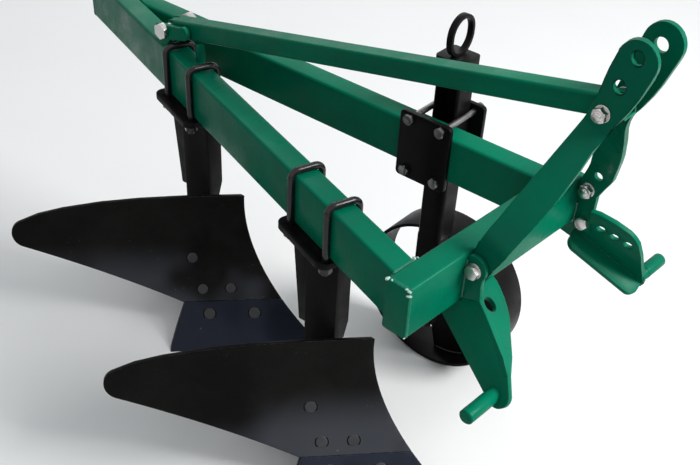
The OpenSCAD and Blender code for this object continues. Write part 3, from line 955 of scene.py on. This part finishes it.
@dataclass
class FrameTubes(Assembly):
    """The crossbeam, main beam and side beam of welded box tube, with their end caps."""

    bead: WeldBead = WeldBead(3.0)
    cap_bead: WeldBead = WeldBead(2.0, 3.0)
    top_bead: WeldBead = WeldBead(2.2, 3.4)
    cap_thickness: float = 5.0

    def build(self) -> None:
        """Makes the tubes, caps and the beads between them."""
        self.soften(["crossbeam", "main_beam", "side_beam"], GREEN, width=0.8)
        self.soften(["crossbeam_caps", "main_beam_cap"], WORN_HIGHLIT_GREEN, width=1.6)
        self.weld_caps()
        self.weld_beams()
        self.spatter()

    def rim(self, y: float, inset: float = 1.5) -> list[Point]:
        """The outline of a tube's end at local y, as a closed line."""
        w, top, low = LAYOUT.tube_width / 2 - inset, LAYOUT.frame_top - inset, LAYOUT.frame_bottom + inset
        return [(-w, y, low), (w, y, low), (w, y, top), (-w, y, top), (-w, y, low)]

    def weld_caps(self) -> None:
        """Welds the end caps on."""
        across = LAYOUT.plough() @ shift(0, LAYOUT.cross_back + LAYOUT.tube_width / 2) @ turn(z=-90)
        left, right = LAYOUT.cross_left + self.cap_thickness, LAYOUT.cross_right - self.cap_thickness
        rear = -LAYOUT.main_length
        for name, y, seed, where in (("left", left, left, across), ("right", right, right, across),
                                     ("rear", rear, 1.0, LAYOUT.main())):
            self.add(self.cap_bead.along(self.rim(y), seed), f"cap_weld_{name}", WELD_GREEN, where)

    def weld_beams(self) -> None:
        """Welds the two long beams to the crossbeam."""
        low, top, half, y = LAYOUT.frame_bottom, LAYOUT.frame_top, LAYOUT.tube_width / 2, LAYOUT.cross_back
        for name, x, angle in (("main", LAYOUT.main_x, -LAYOUT.main_angle), ("side", LAYOUT.side_x, LAYOUT.heading)):
            wide = half / math.cos(math.radians(angle))
            shape = self.bead.along([(x - wide, y - 1, low), (x - wide, y - 1, top - 4)], 0.4)
            shape.join(self.bead.along([(x + wide, y - 1, low), (x + wide, y - 1, top - 4)], 1.7))
            shape.join(self.top_bead.along([(x - wide, y, top - 1.2), (x + wide, y, top - 1.2)], 0.9))
            self.add(shape, f"beam_weld_{name}", WELD_GREEN, LAYOUT.plough())

    def spatter(self) -> None:
        """Sets bright spatter and chipped paint at the corners where the tubes are welded."""
        right, top, low = LAYOUT.cross_right, LAYOUT.frame_top, LAYOUT.frame_bottom
        back, front, main_x = LAYOUT.cross_back, LAYOUT.cross_front, LAYOUT.main_x
        spots = [
            (right - 1.0, back + 2.5, top - 0.5, 3.4), (right - 1.5, back + 9.0, top + 0.2, 1.8),
            (right - 0.5, front - 1.8, top - 1.2, 3.0), (right - 0.3, front - 0.8, top - 8.0, 3.2),
            (right - 0.8, front - 6.0, top + 0.1, 2.0), (right - 0.5, front - 1.2, low + 3.0, 1.8),
            (main_x - 21.5, back - 1.0, top + 0.2, 3.0), (main_x - 26.0, back + 1.2, top + 0.2, 1.7),
        ]
        flat = Matrix.Diagonal((1.25, 0.8, 0.5, 1))
        shape = Shape()
        for k, (x, y, z, r) in enumerate(spots):
            blob = Shape()
            bmesh.ops.create_icosphere(blob.bm, subdivisions=3, radius=r)
            for v in blob.bm.verts:
                v.co *= 1.0 + 0.16 * math.sin(2.3 * v.co.x + k) * math.cos(1.9 * v.co.y + 2.1 * k)
            shape.join(blob, shift(x, y, z) @ turn(z=40.0 * k) @ flat)
        self.add(shape, "weld_spatter", WORN_WHITE, LAYOUT.plough())


@dataclass
class Hitch(Assembly):
    """The lugs, arms and pins that the tractor's lower links take."""

    lug_offset: float = 140.0
    lug_width: float = 28.0
    left_lug_low: float = 442.0
    plate: float = 8.0
    bolt: float = 12.5
    arm_at: Point = (150.0, 80.0, 421.0)
    arm_turn: Point = (-24.0, -24.2, -18.8)
    right_bolt: Flat = (115.0, 507.0)
    left_bolt: Flat = (118.2, 516.5)
    low_bolt: Flat = (118.5, 456.0)
    bead: WeldBead = WeldBead(2.4)

    def build(self) -> None:
        """Makes both halves."""
        self.right_lug()
        self.right_arm()
        self.left_lug()
        self.left_arm()
        for side in Side:
            self.soften([f"hitch_pin_{side.word}"], GREEN, width=0.6)
        self.bolts()
        self.welds()

    def arm(self) -> Matrix:
        """Frame of an arm in its half of the hitch: X out of its face, Y along it."""
        droop, lean, flare = self.arm_turn
        return shift(*self.arm_at) @ turn(z=flare) @ turn(x=droop) @ turn(y=lean)

    def bend(self) -> tuple[Vector, Vector]:
        """The fold between the right lug and its arm.

        Returns:
            A point of it and the way up across it.
        """
        lug, out = Vector((1, 0, 0)), self.arm().to_3x3() @ Vector((1, 0, 0))
        line = lug.cross(out).normalized()
        at, base = Vector((self.lug_offset, LAYOUT.cross_front, 0)), Vector(self.arm_at)
        at.z = base.z - (out.x * (at.x - base.x) + out.y * (at.y - base.y)) / out.z
        up = (lug.cross(line) + out.cross(line)).normalized()
        return at, up if up.z > 0 else -up

    def lug_plate(self, outline: Sequence[Flat], holes: Sequence[Hole]) -> Shape:
        """A lug's plate from its (y, z) outline, its outer face at the lug's offset."""
        return plate(outline, self.plate, holes).move(shift(self.lug_offset - self.plate) @ UPRIGHT)

    def arm_plate(self, outline: Sequence[Flat], holes: Sequence[Hole] = ()) -> Shape:
        """An arm's plate from its outline along and across it, in its half of the hitch."""
        return plate(outline, self.plate, holes).move(self.arm() @ shift(-self.plate) @ UPRIGHT)

    def right_lug(self) -> None:
        """Makes the right lug, which folds into its arm."""
        y0, (y, z) = LAYOUT.cross_front, self.right_bolt
        wide = y0 + self.lug_width
        round_end = arc((y - 1.5, z + 2), 19.5, -36, 124, 14)
        outline = [(y0, 430.0), (wide, 430.0), (wide, 474.0), (wide - 2, 486.0), *round_end]
        at, up = self.bend()
        shape = self.lug_plate(outline, [(y, z, self.bolt)]).cut(at, -up).soften(1.0)
        self.stand_in(shape, "hitch_lug_right", GREEN, LAYOUT.hitch(Side.RIGHT), smooth=30.0)

    def right_arm(self) -> None:
        """Makes the right arm, a plate with a tapering flange folded from its front edge."""
        face = self.arm_plate([
            (-6, 0), (142, 0), *arc((142, 18), 18, -80, 48, 9), (130, 46), (104, 54), (45, 62), (23, 64), (-6, 60),
        ])
        face.cut(*self.bend()).soften(0.9).notch(LAYOUT.frame_bottom - 0.2, LAYOUT.cross_front + 0.2)
        edge = [(-22, 0), (-31, -17), (-41, -36), (-50, -52), (-54.5, -66), (-57.5, -83), (-57.7, -99), (-56.5, -110)]
        flange = plate([(0, 1), *edge, (-52, -119), (-20, -106), (0, -100)], self.plate, [(-20, -76, 22)])
        tip = plate([(0.0, 0.0), (-22, 0), (-8, 27), (0, 27)], self.plate)
        fold = self.arm() @ shift(0.3, 104, 54.6)
        face.join(flange.soften(1.4, 3), fold @ turn(x=-6.8) @ shift(z=-self.plate))
        face.join(tip.soften(0.8), fold @ turn(x=-17) @ shift(z=-self.plate))
        self.stand_in(face, "hitch_arm_right", GREEN, LAYOUT.hitch(Side.RIGHT), smooth=30.0)

    def left_lug(self) -> None:
        """Makes the left lug, with a bolt at each end."""
        y0, (y, z), low = LAYOUT.cross_front, self.left_bolt, self.left_lug_low
        wide = y0 + self.lug_width
        outline = [(y0, low), (wide, low), (wide, z), *arc((y, z), 13.0, 0, 115, 8), (y0, z + 10)]
        shape = self.lug_plate(outline, [(y, z, self.bolt), (*self.low_bolt, self.bolt)]).soften(1.0)
        self.stand_in(shape, "hitch_lug_left", GREEN, LAYOUT.hitch(Side.LEFT), smooth=30.0)

    def left_arm(self) -> None:
        """Makes the left arm, a plate with three holes and a round-ended flange along its foot."""
        holes = [(41 + 22.4 * k, 63.6 + 3.7 * k, 15.0) for k in range(3)]
        face = self.arm_plate([
            (-6, 0), (150, 0), (150, 12), (143, 20), (127, 44), (113, 66), (96, 87), (85, 94), (74, 97.5), (48, 97),
            (23, 91.5), (10, 84), (-6, 60),
        ], holes)
        face.soften(0.9).notch(self.left_lug_low, LAYOUT.cross_front + self.lug_width)
        foot = plate(
            [*arc((15, 15), 15, 180, 270, 6), (38, 0), (38, 133), *arc((15, 118), 15, 90, 180, 6)], self.plate
        ).soften(1.0)
        face.join(foot, self.arm() @ shift(0, 21, 25) @ turn(x=-6.4) @ shift(-38, -7, -self.plate))
        self.stand_in(face, "hitch_arm_left", GREEN, LAYOUT.hitch(Side.LEFT), smooth=30.0)

    def bolts(self) -> None:
        """Makes the lug bolts of both halves as one piece."""
        upper = Bolt(12, 19, 8, 2 * self.plate, 3, 2.0, 2.0)
        lower = Bolt(12, 19, 8, self.plate, 3, 2.0)
        x, left = self.lug_offset, mirror(Side.LEFT)
        shape = Shape().join(upper.shape(), shift(x, *self.right_bolt) @ turn(y=90) @ turn(z=11))
        shape.join(upper.shape(), left @ shift(x, *self.left_bolt) @ turn(y=90) @ turn(z=23))
        shape.join(lower.shape(), left @ shift(x - self.plate, *self.low_bolt) @ turn(y=-90) @ turn(z=8))
        self.stand_in(shape, "hitch_bolts", ZINC, LAYOUT.hitch(Side.RIGHT))

    def welds(self) -> None:
        """Welds the lugs to the crossbeam's front face."""
        y, x0, x1 = LAYOUT.cross_front + 0.5, self.lug_offset - self.plate - 1, self.lug_offset + 1
        for side in Side:
            shape = self.bead.along([(x1, y, 456), (x1, y, 520)], side.value)
            shape.join(self.bead.along([(x0, y, 452), (x0, y, 486)], 0.6))
            self.add(shape, f"lug_weld_{side.word}", WELD_GREEN, LAYOUT.hitch(side))


@dataclass
class Mast(Assembly):
    """The two bent mast bars, the brace and its clevis."""

    half_gap: float = 22.0
    plate: float = 8.0
    lean: float = 18.4
    foot_at: Flat = (12.5, 507.0)
    foot_x: float = 124.0
    top_bend: float = 207.0
    foot_bend: float = 45.0
    reach: float = 9.0
    strips: int = 4
    link_holes: Flat = (316.0, 273.0)
    brace_hole: float = 231.0
    left_foot: float = 10.0
    spare_hole: Hole = (2.0, 40.0, 14.0)

    def build(self) -> None:
        """Makes the mast and its brace."""
        self.bar(Side.RIGHT, 0.0, 311.0, [])
        self.bar(Side.LEFT, self.left_foot, 318.0, [self.spare_hole])
        self.soften(["brace_tube", "rear_clevis"], GREEN)
        self.soften(["brace_spacers"], ZINC, width=0.4)
        self.soften(["clevis_bolt"], ZINC, width=0.5)
        self.mast_bolt()

    def frame(self) -> Matrix:
        """Frame of the mast in the hitch's: Y across its bars, Z up along them, from the right foot's bolt."""
        return shift(0, LAYOUT.cross_front + self.foot_at[0], self.foot_at[1]) @ turn(x=-self.lean)

    def strip(self, t: float) -> Flat:
        """The fold of a bar.

        Args:
            t: the place along the mast.

        Returns:
            Where the bar's inner face runs there, and its slope.
        """
        slope = (self.foot_x - self.half_gap) / (self.top_bend - self.foot_bend)
        r = self.reach
        if t >= self.top_bend + r:
            return self.half_gap, 0.0
        if t > self.top_bend - r:
            over = self.top_bend + r - t
            return self.half_gap + slope * over * over / (4 * r), slope * over / (2 * r)
        if t > self.foot_bend + r:
            return self.half_gap + slope * (self.top_bend - t), slope
        if t > self.foot_bend - r:
            over = t - (self.foot_bend - r)
            return self.foot_x - slope * over * over / (4 * r), slope * over / (2 * r)
        return self.foot_x, 0.0

    def bar(self, side: Side, foot: float, top: float, extra: Sequence[Hole]) -> None:
        """Makes a mast bar from a flat plate, then folds it at its two bends.

        Args:
            side: which bar.
            foot: height of its foot's bolt along the mast.
            top: height of its rounded end's centre.
            extra: more holes as place across, place along and diameter.
        """
        outline = [
            *arc((0, foot), 17.5, -180, 0, 12), (19.5, foot + 16), (23.5, foot + 38), (26, 100), (26, 125), (23, 160),
            (19, 186), (18.6, 219), (22.5, 234), (26, 254), (28, 275), (28.4, top - 6),
            *arc((1.5, top), 26.7, 0, 180, 14), (-24.7, 303), (-23.7, 285), (-21.5, 267), (-18.6, 250), (-18, 236),
            (-18, foot + 30),
        ]
        holes = [(0.0, t, 19.5) for t in self.link_holes]
        holes += [(0.0, self.brace_hole, 13.0), (0.0, foot, 12.6), *extra]
        shape = plate(outline, self.plate, holes)
        for bend in (self.foot_bend, self.top_bend):
            for k in range(-self.strips, self.strips + 1):
                shape.split((0, bend + k * self.reach / self.strips, 0), (0, 1, 0))
        for v in shape.bm.verts:
            across, t, w = v.co
            x, slope = self.strip(t)
            steep = math.hypot(1.0, slope)
            v.co = (x + w / steep, across, t + w * slope / steep)
        shape.soften(1.1, 2, 40.0).move(self.frame()).cut((0, LAYOUT.cross_front + 0.4, 0), (0, -1, 0))
        self.stand_in(shape, f"mast_bar_{side.word}", GREEN, LAYOUT.hitch(side), smooth=32.0)

    def mast_bolt(self) -> None:
        """Makes the bolt through the bars and the brace, its nut on the right."""
        outer = self.half_gap + self.plate
        bolt = Bolt(12, 18, 7.5, 2 * outer, 3, 2.2, 2.0)
        where = LAYOUT.hitch(Side.RIGHT) @ self.frame() @ shift(-outer, 0, self.brace_hole)
        self.stand_in(bolt.shape(), "mast_bolt", ZINC, where @ turn(y=-90) @ turn(z=14))


@dataclass
class DepthWheel(Assembly):
    """The depth wheel, its standard and the clamp on the side beam."""

    plate: float = 8.0
    plate_wide: float = 93.0
    plate_high: float = 113.0
    corner: float = 7.0
    inner_face: float = 20.0
    outer_face: float = -70.6
    back: float = 199.5
    rows: Flat = (539.5, 451.2)
    middle: float = 494.25
    bolt_side: float = 29.0
    bolt: float = 10.0
    bolt_across: float = 16.0
    axle: Point = (-104.5, -207.5, 146.0)
    spoke_turn: float = 60.0
    spoke_half: float = 3.5
    weld_radius: float = 136.5
    weld_half_angle: float = 13.0

    def build(self) -> None:
        """Makes the wheel and its clamp."""
        self.clamp("clamp_plate_inner", self.inner_face)
        self.clamp("clamp_plate_outer", self.outer_face)
        self.clamp_bolts()
        self.soften(["standard_tube", "standard_foot", "standard_cap", "lift_ring"], BLACK, Body.STANDARD, 0.7)
        self.soften(["wheel_axle"], ZINC, Body.STANDARD, 0.6)
        self.soften(["wheel_rim", "wheel_hub"], BLACK, Body.WHEEL, 1.2)
        self.spokes()
        self.welds()

    def clamp(self, name: str, x: float) -> None:
        """Makes a clamp plate.

        Args:
            name: its node.
            x: its face towards the left, in the side beam's frame.
        """
        r = self.corner
        w, h = self.plate_wide / 2 - r, self.plate_high / 2 - r
        middles = ((w, h), (-w, h), (-w, -h), (w, -h))
        outline = [p for k, at in enumerate(middles) for p in arc(at, r, 90 * k, 90 * k + 90, 5)]
        where = LAYOUT.side() @ shift(x, -self.back, self.middle) @ UPRIGHT
        self.stand_in(plate(outline, self.plate).soften(0.9), name, BLACK, where)

    def clamp_bolts(self) -> None:
        """Makes the four bolts through the clamp plates."""
        near = self.inner_face + self.plate
        bolt = Bolt(self.bolt, self.bolt_across, 6.5, near - self.outer_face, 4, 1.8)
        shape = Shape()
        for k, z in enumerate(self.rows):
            for j, side in enumerate((-1, 1)):
                at = shift(near, -self.back + side * self.bolt_side, z)
                shape.join(bolt.shape(), at @ turn(y=90) @ turn(z=17.0 * (k + 2 * j)))
        self.stand_in(shape, "clamp_bolts", DULL_ZINC, LAYOUT.side())

    def spokes(self) -> None:
        """Turns the spokes about the axle to where the photograph has them."""
        to_axle = LAYOUT.side() @ shift(*self.axle)
        about = to_axle @ turn(x=self.spoke_turn) @ to_axle.inverted()
        shape = softened(self.nodes["wheel_spokes"], 1.2).move(about)
        self.stand_in(shape, "wheel_spokes", BLACK, body=Body.WHEEL, smooth=30.0)

    def welds(self) -> None:
        """Welds both faces of the spokes to the rim."""
        shape, half = Shape(), self.weld_half_angle
        for k in range(4):
            for face in (-self.spoke_half, self.spoke_half):
                middle = 90 * k + self.spoke_turn - 45
                line = [(face, *p) for p in arc((0, 0), self.weld_radius, middle - half, middle + half, 6)]
                shape.join(WeldBead(2.4).along(line, k + face))
        self.add(shape, "spoke_welds", WELD_BLACK, LAYOUT.side() @ shift(*self.axle), Body.WHEEL)


@dataclass
class PloughBody(Assembly):
    """One plough body: base plate, U-bolts, leg, frog, moldboard, share and landside."""

    index: int = 0
    radius: float = 265.0
    share_angle: float = 27.0
    joint_z: float = 58.0
    board_thickness: float = 6.0
    share_thickness: float = 8.0
    start: float = -90.0
    column: float = 14.0
    row_angle: float = 1.5
    base_low: float = 440.0
    rod: float = 5.5
    rod_half: float = 25.5
    rod_rows: tuple[Flat, Flat] = ((-147.2, -247.6), (-584.4, -672.9))
    leg_at: Flat = (515.0, -118.0)
    leg_size: Flat = (34.0, 62.0)
    heads: tuple[Hole, ...] = (
        (223.0, 76.0, 9.5), (170.0, 76.0, 9.5), (240.0, 128.0, 9.5), (212.0, 41.0, 10.5), (127.0, 40.0, 10.5),
    )

    @property
    def n(self) -> int:
        """The body's number in node names."""
        return self.index + 1

    @property
    def curve(self) -> Flat:
        """The centre of the board's curve, forward of and above the share's edge."""
        a = math.radians(self.share_angle)
        return self.radius * math.sin(a), self.radius * math.cos(a)

    def swing(self, z: float) -> float:
        """The angle from straight down at which the board's curve passes height z."""
        return math.acos((self.curve[1] - z) / self.radius)

    def build(self) -> None:
        """Makes the body."""
        self.soften([f"{word}_{self.n}" for word in ("base_plate", "leg", "frog", "landside", "tail_brace")], BLACK)
        self.u_bolts()
        self.moldboard()
        self.share()
        self.board_bolts()
        self.welds()

    def u_bolts(self) -> None:
        """Makes the U-bolts, with washers, nuts and threaded ends under the base plate."""
        low, r = self.base_low, self.rod
        shape = softened(self.nodes[f"u_bolts_{self.n}"], 0.2).move(LAYOUT.main().inverted())
        shape.cut((0, 0, low + 2), (0, 0, -1))
        for k, y in enumerate(self.rod_rows[self.index]):
            for side in (-1, 1):
                under = shift(side * self.rod_half, y, low) @ turn(x=180) @ turn(z=23.0 * k + 11 * side)
                shape.join(washer(r + 0.4, 2 * r, 1.8), under)
                shape.join(hexagon(18.5, 9.0), under @ shift(z=1.8))
                shape.join(thread(r, 17.0, 1.5), under)
        self.stand_in(shape, f"u_bolts_{self.n}", STEEL, LAYOUT.main())

    def on_curve(self, along: float, height: float) -> Matrix:
        """A frame on the soil side of the board, Z out of it, at a place along the edge and a height."""
        a = self.swing(height)
        return shift(along, self.curve[0] - self.radius * math.sin(a), height) @ turn(x=-math.degrees(a))

    def board_bolts(self) -> None:
        """Sets the countersunk bolt heads in the moldboard and the share, each on a near-black ring of painted shade
        that stands for the shade of its countersink.
        """
        heads, shade_rings = Shape(), Shape()
        for along, height, r in self.heads:
            where = self.on_curve(along, height)
            heads.join(lathe([(0, 0.35), (r * 0.62, 0.45), (r * 0.92, 0.55), (r, 0.3), (r, -3), (0, -3)], 36), where)
            # Each head sits on a slightly wider near-black disc, the painted shade of its countersink.
            shade_rings.join(lathe([(0, 0.12), (r + 2.2, 0.12), (r + 2.6, -0.4), (r + 2.6, -3), (0, -3)], 36), where)
        edge = LAYOUT.edge(self.index)
        self.add(heads, f"board_bolts_{self.n}", HEAD, edge)
        self.add(shade_rings, f"board_bolt_seats_{self.n}", SHADE_RING, edge)

    def welds(self) -> None:
        """Welds the leg under its base plate."""
        bead, (wide, deep), z = WeldBead(2.8), self.leg_size, self.base_low - 0.6
        shape = bead.along([(1, -deep, z), (1, 0, z)], self.n)
        shape.join(bead.along([(0, 1, z), (-wide, 1, z)], self.n + 0.5))
        shape.join(bead.along([(-wide - 1, 0, z), (-wide - 1, -deep, z)], self.n + 1.1))
        where = LAYOUT.body(self.index) @ shift(*self.leg_at) @ turn(z=LAYOUT.heading)
        self.add(shape, f"leg_weld_{self.n}", WELD_BLACK, where)

    def shell(self, thickness: float, low: float, high: float, length: float) -> Shape:
        """A curved plate along the share's edge, its soil side on the board's curve.

        Args:
            thickness: of the plate.
            low: height where it starts.
            high: height where it ends.
            length: how far it runs along the edge.

        Returns:
            The shape, in the frame of the share's edge.
        """
        cy, cz = self.curve
        shape = Shape()
        bm = shape.bm
        first, last = self.swing(low), self.swing(high)
        a = bm.verts.new((self.start, cy - self.radius * math.sin(first), cz - self.radius * math.cos(first)))
        b = bm.verts.new((length, a.co.y, a.co.z))
        bmesh.ops.subdivide_edges(bm, edges=[bm.edges.new((a, b))], cuts=int(length / self.column))
        bmesh.ops.spin(
            bm, geom=[*bm.verts, *bm.edges], cent=(0, cy, cz), axis=(1, 0, 0), angle=first - last,
            steps=max(int(math.degrees(last - first) / self.row_angle), 4), use_merge=False,
        )
        for f in bm.faces:
            middle = f.calc_center_median()
            if f.normal.dot(Vector((0, cy - middle.y, cz - middle.z))) < 0:
                f.normal_flip()
        bmesh.ops.solidify(bm, geom=list(bm.faces), thickness=thickness)
        return shape.outward()

    def trim(self, shape: Shape, outline: Sequence[Flat]) -> Shape:
        """Cuts a curved plate to an outline of (along the edge, height) points and to the landside.

        Args:
            shape: the plate.
            outline: points of the outline's cut sides, in order, with the waste on their right.

        Returns:
            The shape.
        """
        for (g0, z0), (g1, z1) in zip(outline, outline[1:]):
            shape.cut((g0, 0, z0), (z1 - z0, 0, -(g1 - g0)))
        tilt = math.radians(LAYOUT.heading - (LAYOUT.edge_angle - 90))
        return shape.cut((0, 0, 0), (-math.cos(tilt), -math.sin(tilt), 0))

    def moldboard(self) -> None:
        """Makes the moldboard, whose tail is round."""
        outline = [(0, 58.5), (262, 58.5), *arc((541, 181), 25, -71, 64, 9), (515, 219), (470, 230), (400, 241),
                   (330, 247), (250, 250), (0, 250)]
        shape = self.trim(self.shell(self.board_thickness, self.joint_z - 8, 261.0, 600), outline).soften(1.1)
        self.stand_in(shape, f"moldboard_{self.n}", BOARD, LAYOUT.edge(self.index), smooth=35.0)

    def share(self) -> None:
        """Makes the share, whose wing is cut off."""
        outline = [(288, 0), (258, 57.5), (-60, 57.5)]
        shape = self.trim(self.shell(self.share_thickness, 0.0, self.joint_z + 10, 320), outline)
        shape.cut((0, 0, 0.05), (0, 0, -1)).soften(0.9)
        self.stand_in(shape, f"share_{self.n}", SHARE, LAYOUT.edge(self.index), smooth=35.0)


# ---------------------------------------------------------------- stage


@dataclass(frozen=True)
class Studio:
    """The floor, the soft light and the camera, in metres and pixels."""

    eye: Point = (0.9896, 1.0368, 1.3325)
    right: Point = (-0.6766, 0.7345, 0.0526)
    down: Point = (0.4636, 0.4803, -0.7446)
    focal: float = 1046.0
    wide: int = 700
    high: int = 465
    principal: Flat = (350.0, 350.0)
    sensor: float = 36.0
    floor_half: float = 60.0
    floor_seen: tuple[Colour, Colour] = ((0.80, 0.80, 0.79), (0.84, 0.84, 0.83))
    floor_bounce: Colour = (0.34, 0.34, 0.33)
    bright_way: Point = (-0.45, 0.45, 0.8)
    sky: Flat = (0.09, 0.74)
    sky_colour: Colour = (0.92, 0.96, 1.0)
    backdrop: Colour = (0.97, 0.97, 0.97)
    aim: Point = (0.0, 0.0, 0.3)
    lights: tuple[tuple[str, Point, float, float], ...] = (
        ("key", (-1.3, 2.7, 2.6), 1.5, 150.0),
        ("fill", (2.8, 0.6, 2.0), 2.4, 7.0),
        ("back", (-2.2, -2.2, 2.4), 2.0, 18.0),
    )

    def build(self) -> None:
        """Sets the stage."""
        self.floor()
        self.world()
        self.lamps()
        self.camera()
        bpy.context.scene.view_settings.view_transform = "Standard"

    def floor(self) -> None:
        """Lays the floor, pale to the camera and darker in the light that it throws back."""
        bm = bmesh.new()
        bmesh.ops.create_grid(bm, x_segments=1, y_segments=1, size=self.floor_half)
        mesh = bpy.data.meshes.new("floor")
        bm.to_mesh(mesh)
        bm.free()
        material = bpy.data.materials.new("pale_floor")
        g = Graph(material)
        pale = g.blend(g.fractal(g.node("TexCoord").outputs["Object"], FLOOR_CLOUDS), *self.floor_seen)
        colour = g.blend(g.seen(), self.floor_bounce, pale)
        shader = g.node("BsdfPrincipled", Base_Color=colour, Roughness=0.85)
        g.node("OutputMaterial", Surface=shader.outputs[0])
        mesh.materials.append(material)
        floor = stand("floor", mesh)

    def world(self) -> None:
        """Sets a soft sky, brighter on one side, behind a plain pale backdrop."""
        world = bpy.data.worlds.new("studio")
        bpy.context.scene.world = world
        g = Graph(world)
        facing = g.dot(g.node("TexCoord").outputs["Generated"], Vector(self.bright_way).normalized())
        low, high = self.sky
        fade = g.node("MapRange", Value=facing, From_Min=-0.6, To_Min=low, To_Max=high)
        sky = g.node("Background", Color=(*self.sky_colour, 1), Strength=fade.outputs[0])
        backdrop = g.node("Background", Color=(*self.backdrop, 1), Strength=1.0)
        mix = g.node("MixShader")
        for socket, source in zip(mix.inputs, (g.seen(), sky.outputs[0], backdrop.outputs[0])):
            g.feed(socket, source)
        g.node("OutputWorld", Surface=mix.outputs[0])

    def lamps(self) -> None:
        """Hangs the large soft lamps round the plough, all aimed at its middle."""
        for name, at, size, power in self.lights:
            lamp = bpy.data.lights.new(name, "AREA")
            lamp.size = size
            lamp.energy = power
            ob = stand(name, lamp)
            ob.location = at
            ob.rotation_euler = (Vector(self.aim) - Vector(at)).to_track_quat("-Z", "Y").to_euler()

    def camera(self) -> None:
        """Stands the camera where the photograph was taken from."""
        data = bpy.data.cameras.new("camera")
        data.sensor_width = self.sensor
        data.lens = self.focal / self.wide * self.sensor
        data.shift_x = (self.wide / 2 - self.principal[0]) / self.wide
        data.shift_y = (self.principal[1] - self.high / 2) / self.wide
        data.clip_start, data.clip_end = 0.05, 60.0
        ob = stand("camera", data)
        right, up = Vector(self.right).normalized(), -Vector(self.down).normalized()
        back = right.cross(up).normalized()
        up = back.cross(right)
        ob.matrix_world = Matrix.Translation(self.eye) @ Matrix((right, up, back)).transposed().to_4x4()
        bpy.context.scene.camera = ob


def main() -> None:
    """Builds the scene."""
    logging.basicConfig(level=logging.INFO, format="%(message)s")
    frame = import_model()
    nodes = frame["nodes"]
    bodies = [PloughBody(nodes, index=i) for i in range(2)]
    assemblies: list[Assembly] = [FrameTubes(nodes), Hitch(nodes), Mast(nodes), DepthWheel(nodes), *bodies]
    for assembly in assemblies:
        assembly.build()
        log.info("%s: %d pieces", type(assembly).__name__, len(assembly.made))
    Studio().build()
    bpy.context.view_layer.update()


if __name__ == "__main__":
    main()
